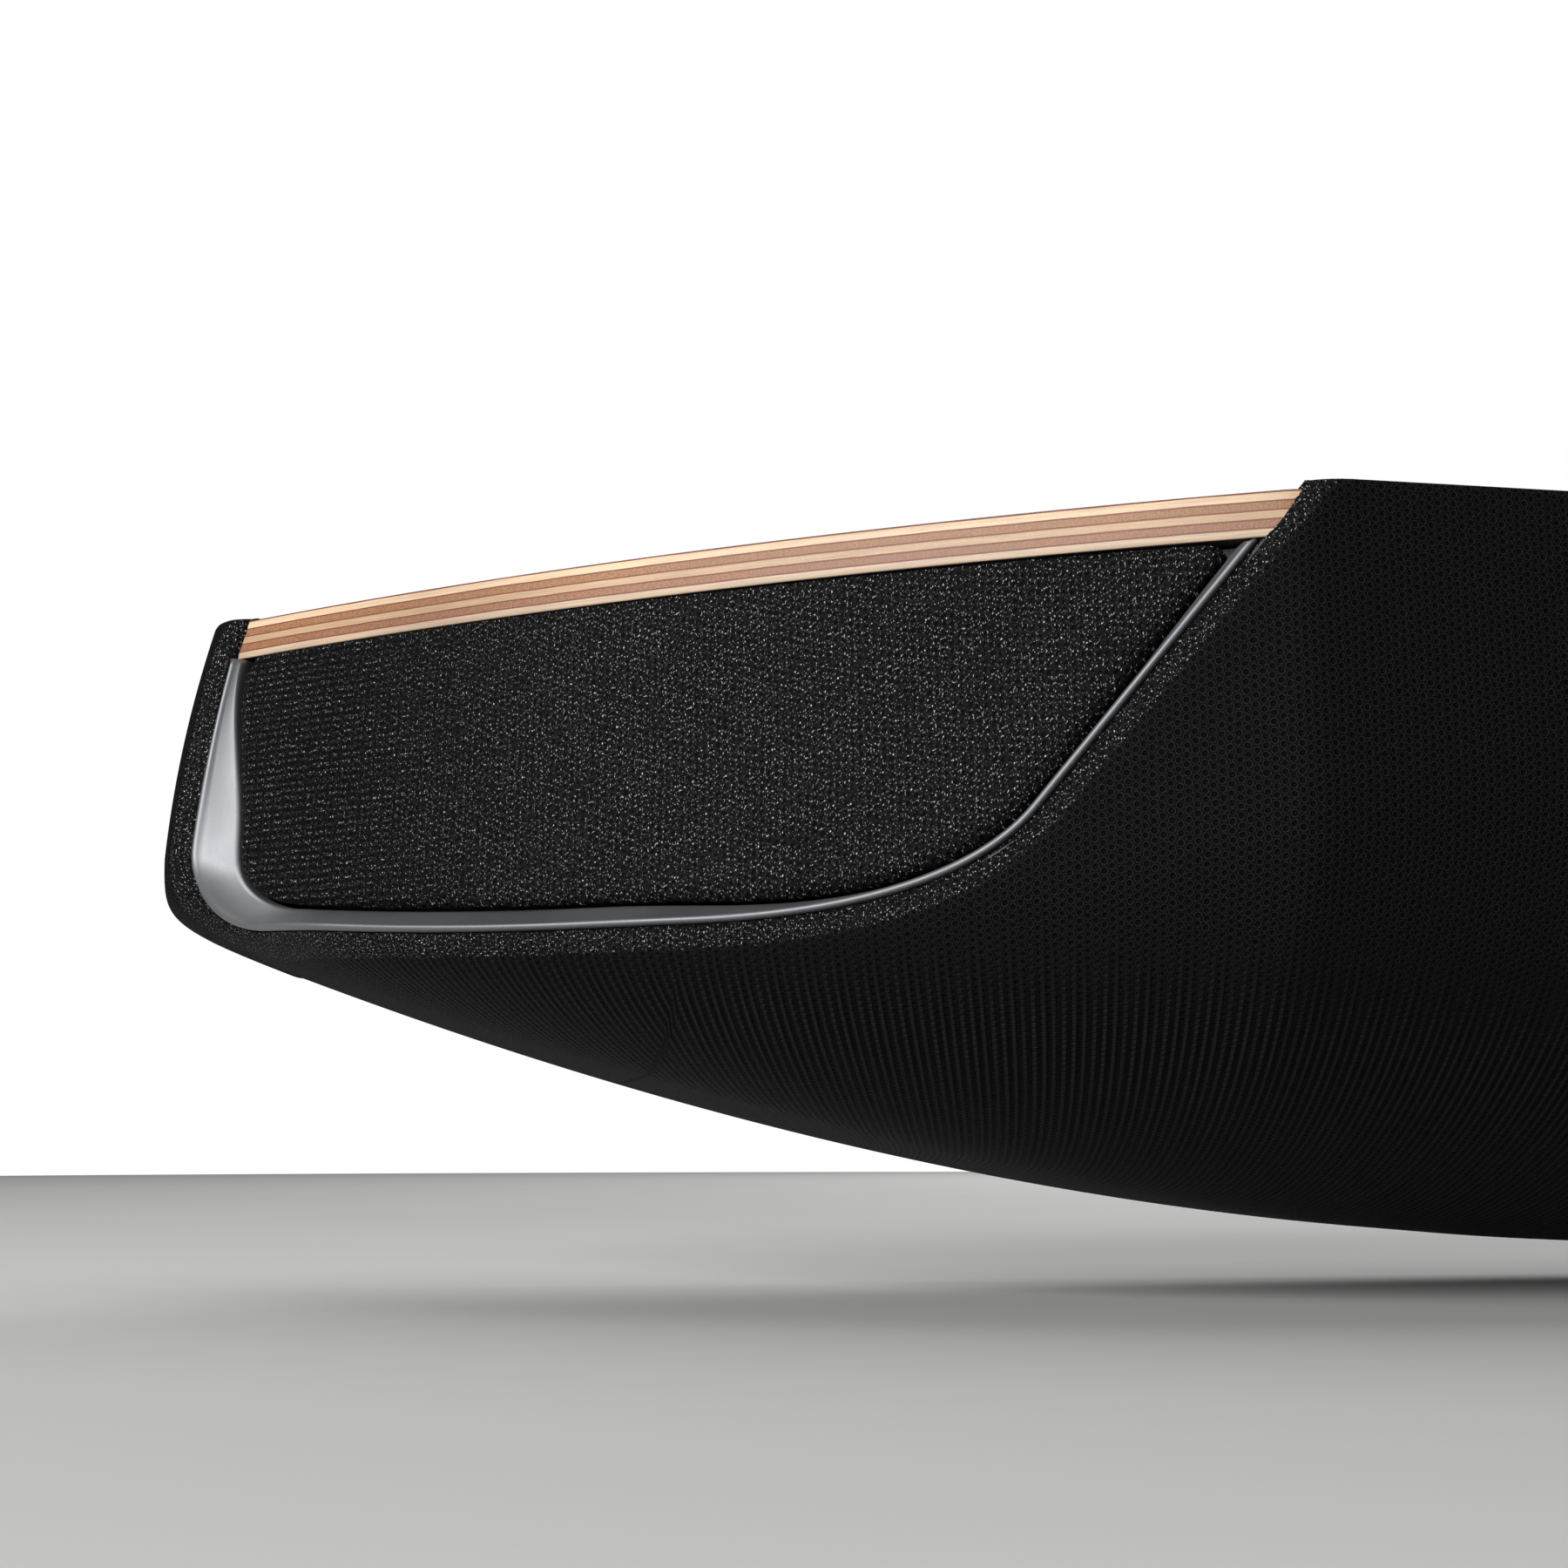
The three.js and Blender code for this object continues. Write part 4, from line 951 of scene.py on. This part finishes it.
def add_windows():
    """The grille cloth and the trim of each end's window."""
    *cloth, weave = grille_cloth()
    *rim, sides = trim()
    last = len(rim[0]) - sides
    caps = [tuple(range(sides))[::-1], tuple(range(last, last + sides))]
    for end in ("left", "right"):
        piece = mesh_object(f"grille_knit_{end}", *cloth, MATERIALS["grille_knit"], maps={"weave": weave})
        weld(piece, 0.005 * MM)
        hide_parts(f"grille_cloth_{end}")
        piece = mesh_object(f"trim_{end}", rim[0], [*rim[1].tolist(), *caps], MATERIALS["satin_trim"])
        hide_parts(f"window_trim_{end}")
        cloth, rim, caps = mirrored(*cloth), mirrored(*rim), [cap[::-1] for cap in caps]


# ---------- Deck ----------

EASE = 0.35  # how much of the deck's edge is eased at its underside and top
# Insets from the deck's face and depths below its top, round its eased lower and upper edges.
LOWER_EDGE = [(1.0, DECK_THICK), (0.45, DECK_THICK), (0.1, DECK_THICK - 0.1), (0, DECK_THICK - EASE)]
UPPER_EDGE = [(0.08, 0.12), (0.3, 0.02), (0.6, 0), (8, 0)]


def add_deck():
    """The plywood deck with eased edges."""
    spans = [(leg["at"], leg["at"] + leg["length"], max(int(leg["length"] / 2), 10)) for leg in LEGS]
    stations = np.unique(np.concatenate([np.linspace(*span) for span in spans]))
    face = [(0, lerp(DECK_THICK - EASE, EASE, share)) for share in np.linspace(0, 1, 8)[1:]]
    left = np.stack([side_point(stations, 0, DECK_INSET + inset) * [1, 1, 0] + [0, 0, DECK_TOP - down]
                     for inset, down in [*LOWER_EDGE, *face, *UPPER_EDGE]], 1)
    ring = np.concatenate([left, left[-2::-1] * [-1, 1, 1]])
    count, rows = ring.shape[:2]
    faces = [(i * rows + j, (i + 1) % count * rows + j, (i + 1) % count * rows + j + 1, i * rows + j + 1)
             for i in range(count) for j in range(rows - 1)]
    caps = [tuple(i * rows + rows - 1 for i in range(count)), tuple(i * rows for i in range(count))[::-1]]
    piece = mesh_object("deck", ring.reshape(-1, 3), [*faces, *caps], MATERIALS["plywood"])
    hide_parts("plywood_deck")


# ---------- Driver surrounds ----------

SURROUND_THICK = 0.5
# The roll: shares of the way from the cone's rim to the basket's ring, and heights above the packed
# surround's back. The last stretch is the flange that is glued to the ring's face.
ROLL = [(0, -0.1), (0.06, 0.0), (0.1, 0.5), (0.16, 1.1), (0.24, 1.75), (0.36, 2.35), (0.5, 2.6), (0.66, 2.5),
        (0.82, 2.15), (1.0, 2.0), (1.35, 2.0)]


def extent(node, axes):
    """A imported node's lowest and highest places along three directions."""
    places = np.array([vertex.co for vertex in frame["nodes"][node].data.vertices]) / MM @ axes.T
    return places.min(0), places.max(0)


def roll_section(span):
    """The roll's closed section, as shares of the span it bridges and heights."""
    line = np.array(ROLL) * [span, 1]
    tangent = np.gradient(line, axis=0)
    normal = np.stack([-tangent[:, 1], tangent[:, 0]], -1) / np.linalg.norm(tangent, axis=1)[:, None]
    half = normal * SURROUND_THICK / 2
    section = np.concatenate([line + half, (line - half)[::-1]])
    return section[:, 0] / span, section[:, 1]


def add_surround(joint):
    """A driver's rubber roll: its inner edge lies by the cone and its outer edge on the basket."""
    node, outward = joint["deforming_nodes"][0]["node"], np.array(joint["axis"], float)
    axes = np.array([np.cross(outward, (0, 0, 1)), (0, 0, 1), outward])
    low, high = extent(node, axes)
    cone_low, cone_high = extent(joint["child"], axes)
    inner, outer = (cone_high - cone_low)[:2] / 2 + GAP, (high - low)[:2] / 2
    middle, back = (low + high)[:2] / 2, low[2]
    share, height = roll_section((outer - inner)[1])
    angles = np.linspace(0, 2 * math.pi, 64, endpoint=False)[:, None]
    radii = [lerp(inner[axis], outer[axis], share) for axis in (0, 1)]
    local = np.stack([middle[0] + radii[0] * np.cos(angles), middle[1] + radii[1] * np.sin(angles),
                      np.broadcast_to(height + back, (len(angles), len(height)))], -1)
    faces = tube_faces(*local.shape[:2], closed=True)
    piece = mesh_object(f"roll_{node}", local.reshape(-1, 3) @ axes, faces, MATERIALS["rubber"], body=None)
    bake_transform(piece)
    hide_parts(node)


def add_surrounds():
    """A roll for each joint that bends a packed surround."""
    for joint in frame["record"]["behaviour"]["joints"]:
        if "deforming_nodes" in joint:
            add_surround(joint)


# ---------- Socket contacts ----------

SOCKET_FLOOR = 1.9  # from a socket's back face to the floor of its mouth
PIN_LENGTH = 7
PIN_OFFSET = 4.3  # of each inlet pin from the inlet's middle
PIN_SIZE = 2.2
HDMI_PITCH = 1.1
NETWORK_PITCH = 1.02


def contact(name, middle, across, length, height, material):
    """A block with eased edges that stands out of a socket's floor."""
    corners = np.array([(x, y, z) for x in (-1, 1) for y in (-1, 1) for z in (-1, 1)]) / 2
    sides = [(0, 1, 3, 2), (4, 6, 7, 5), (0, 4, 5, 1), (2, 3, 7, 6), (0, 2, 6, 4), (1, 5, 7, 3)]
    points = np.array(middle) + corners * (across, length, height)
    piece = mesh_object(name, points, sides, MATERIALS[material], flat=True)
    ease_edges(piece, min(across, length, height) * 0.15, 2)


def contacts_middle(socket):
    """The middle of the pins that stand on the floor of a socket's mouth."""
    low, high = (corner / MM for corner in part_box(socket))
    return (low.x + high.x) / 2, low.y + SOCKET_FLOOR + PIN_LENGTH / 2, (low.z + high.z) / 2


def add_contacts():
    """The pins, tongue and springs that are seen inside the sockets' mouths."""
    x, y, z = contacts_middle("power_inlet")
    for side, end in ((-1, "left"), (1, "right")):
        place = (x + side * PIN_OFFSET, y, z)
        contact(f"inlet_pin_{end}", place, PIN_SIZE, PIN_LENGTH, PIN_SIZE, "steel")
    x, y, z = contacts_middle("hdmi_socket")
    contact("hdmi_tongue", (x, y, z + 0.5), 11, PIN_LENGTH, 1.4, "socket_plastic")
    for k in range(9):
        place = (x + (k - 4) * HDMI_PITCH, y, z - 0.35)
        contact(f"hdmi_contact_{k + 1}", place, 0.5, PIN_LENGTH - 1, 0.2, "contact_gold")
    x, y, z = contacts_middle("network_socket")
    for k in range(8):
        place = (x + (k - 3.5) * NETWORK_PITCH, y, z + 3.6)
        contact(f"network_contact_{k + 1}", place, 0.4, PIN_LENGTH, 0.4, "contact_gold")


# ---------- CAD pieces that stay ----------

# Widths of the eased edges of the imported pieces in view.
EASED = {"rear_cover": 0.7, "connector_tray": 0.3, "base_plinth": 1.2, "power_inlet": 0.25,
         "hdmi_socket": 0.2, "optical_socket": 0.25, "network_socket": 0.2, "power_button": 0.5,
         "pairing_button": 0.5}


def finish_cad_pieces():
    """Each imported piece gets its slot's material, and the ones in view get eased edges."""
    for part in frame["record"]["subparts"]:
        piece = frame["nodes"][part["node"]]
        piece.data.materials.clear()
        piece.data.materials.append(MATERIALS[part["material_slot"]])
    for node, width in EASED.items():
        ease_edges(frame["nodes"][node], width, 3)


# ---------- Stage ----------

CAMERA_PLACE = (-455.95, -335.6, 24.25)
CAMERA_YAW = math.radians(9.97)  # to the right of straight towards the rear
CAMERA_PITCH = math.radians(9.49)  # above level
SKY_GLOW = 0.04  # how strongly the white sky lights the bar
FLOOR_RADIUS = 1900
BAR_TIP = (-0.42, -0.06, 0.08)  # in metres, as are the lights' places and sizes


def aimed(data, place, look):
    """A camera or a lamp at a place, looking in a direction."""
    thing = bpy.data.objects.new(data.name, data)
    thing.location = place
    thing.rotation_mode = "QUATERNION"
    thing.rotation_quaternion = look.to_track_quat("-Z", "Y")
    bpy.context.scene.collection.objects.link(thing)
    return thing


def add_camera():
    """Low in front of the bar's left end, looking towards the rear and slightly up."""
    level = math.cos(CAMERA_PITCH)
    look = Vector((math.sin(CAMERA_YAW) * level, math.cos(CAMERA_YAW) * level, math.sin(CAMERA_PITCH)))
    data = bpy.data.cameras.new("camera")
    data.lens, data.sensor_width = 50, 36
    data.clip_start = 0.01
    bpy.context.scene.camera = aimed(data, Vector(CAMERA_PLACE) * MM, look)
    bpy.context.scene.view_settings.view_transform = "Standard"


def softbox(name, place, target, width, height, power):
    """A rectangular lamp at a place, facing a target."""
    data = bpy.data.lights.new(name, "AREA")
    data.shape, data.size, data.size_y, data.energy = "RECTANGLE", width, height, power
    aimed(data, place, Vector(target) - Vector(place))


def pale_floor():
    """Pale matt floor with slight unevenness."""
    n = Nodes("pale_floor")
    place = n.place()
    cloud = n.noise(place, 3.0, 3.0)
    return n.finish(Base_Color=n.mix(cloud, (0.76, 0.76, 0.75, 1), (0.8, 0.8, 0.79, 1)), Roughness=0.85)


def add_floor():
    """A round pale floor."""
    angles = np.linspace(0, 2 * math.pi, 96, endpoint=False)
    rim = np.stack([np.cos(angles), np.sin(angles), 0 * angles], -1) * FLOOR_RADIUS
    ground = mesh_object("floor", rim, [range(len(rim))], pale_floor(), body=None, flat=True)


def add_sky():
    """A sky that is white to the camera and weak as a light."""
    world = bpy.data.worlds.new("studio")
    world.use_nodes = True
    tree = world.node_tree
    sky = tree.nodes["Background"]
    sky.inputs["Color"].default_value = (1, 1, 1, 1)
    seen = tree.nodes.new("ShaderNodeLightPath").outputs["Is Camera Ray"]
    level = tree.nodes.new("ShaderNodeMapRange")
    level.inputs["To Min"].default_value = SKY_GLOW
    level.inputs["To Max"].default_value = 1.0
    tree.links.new(seen, level.inputs["Value"])
    tree.links.new(level.outputs["Result"], sky.inputs["Strength"])
    bpy.context.scene.world = world


def add_lights():
    """A soft key light at the left, and softer ones above and behind."""
    softbox("key", (-1.35, -0.95, 0.45), BAR_TIP, 0.9, 0.6, 22)
    softbox("top", (0.0, 0.3, 2.4), (0, 0.2, 0), 3.0, 3.0, 20)
    softbox("rear", (0.9, 1.4, 0.9), (0, 0, 0.05), 1.2, 0.8, 14)


add_camera()
add_floor()
add_sky()
add_lights()
finish_cad_pieces()
add_sleeve()
add_windows()
add_deck()
add_contacts()
add_surrounds()
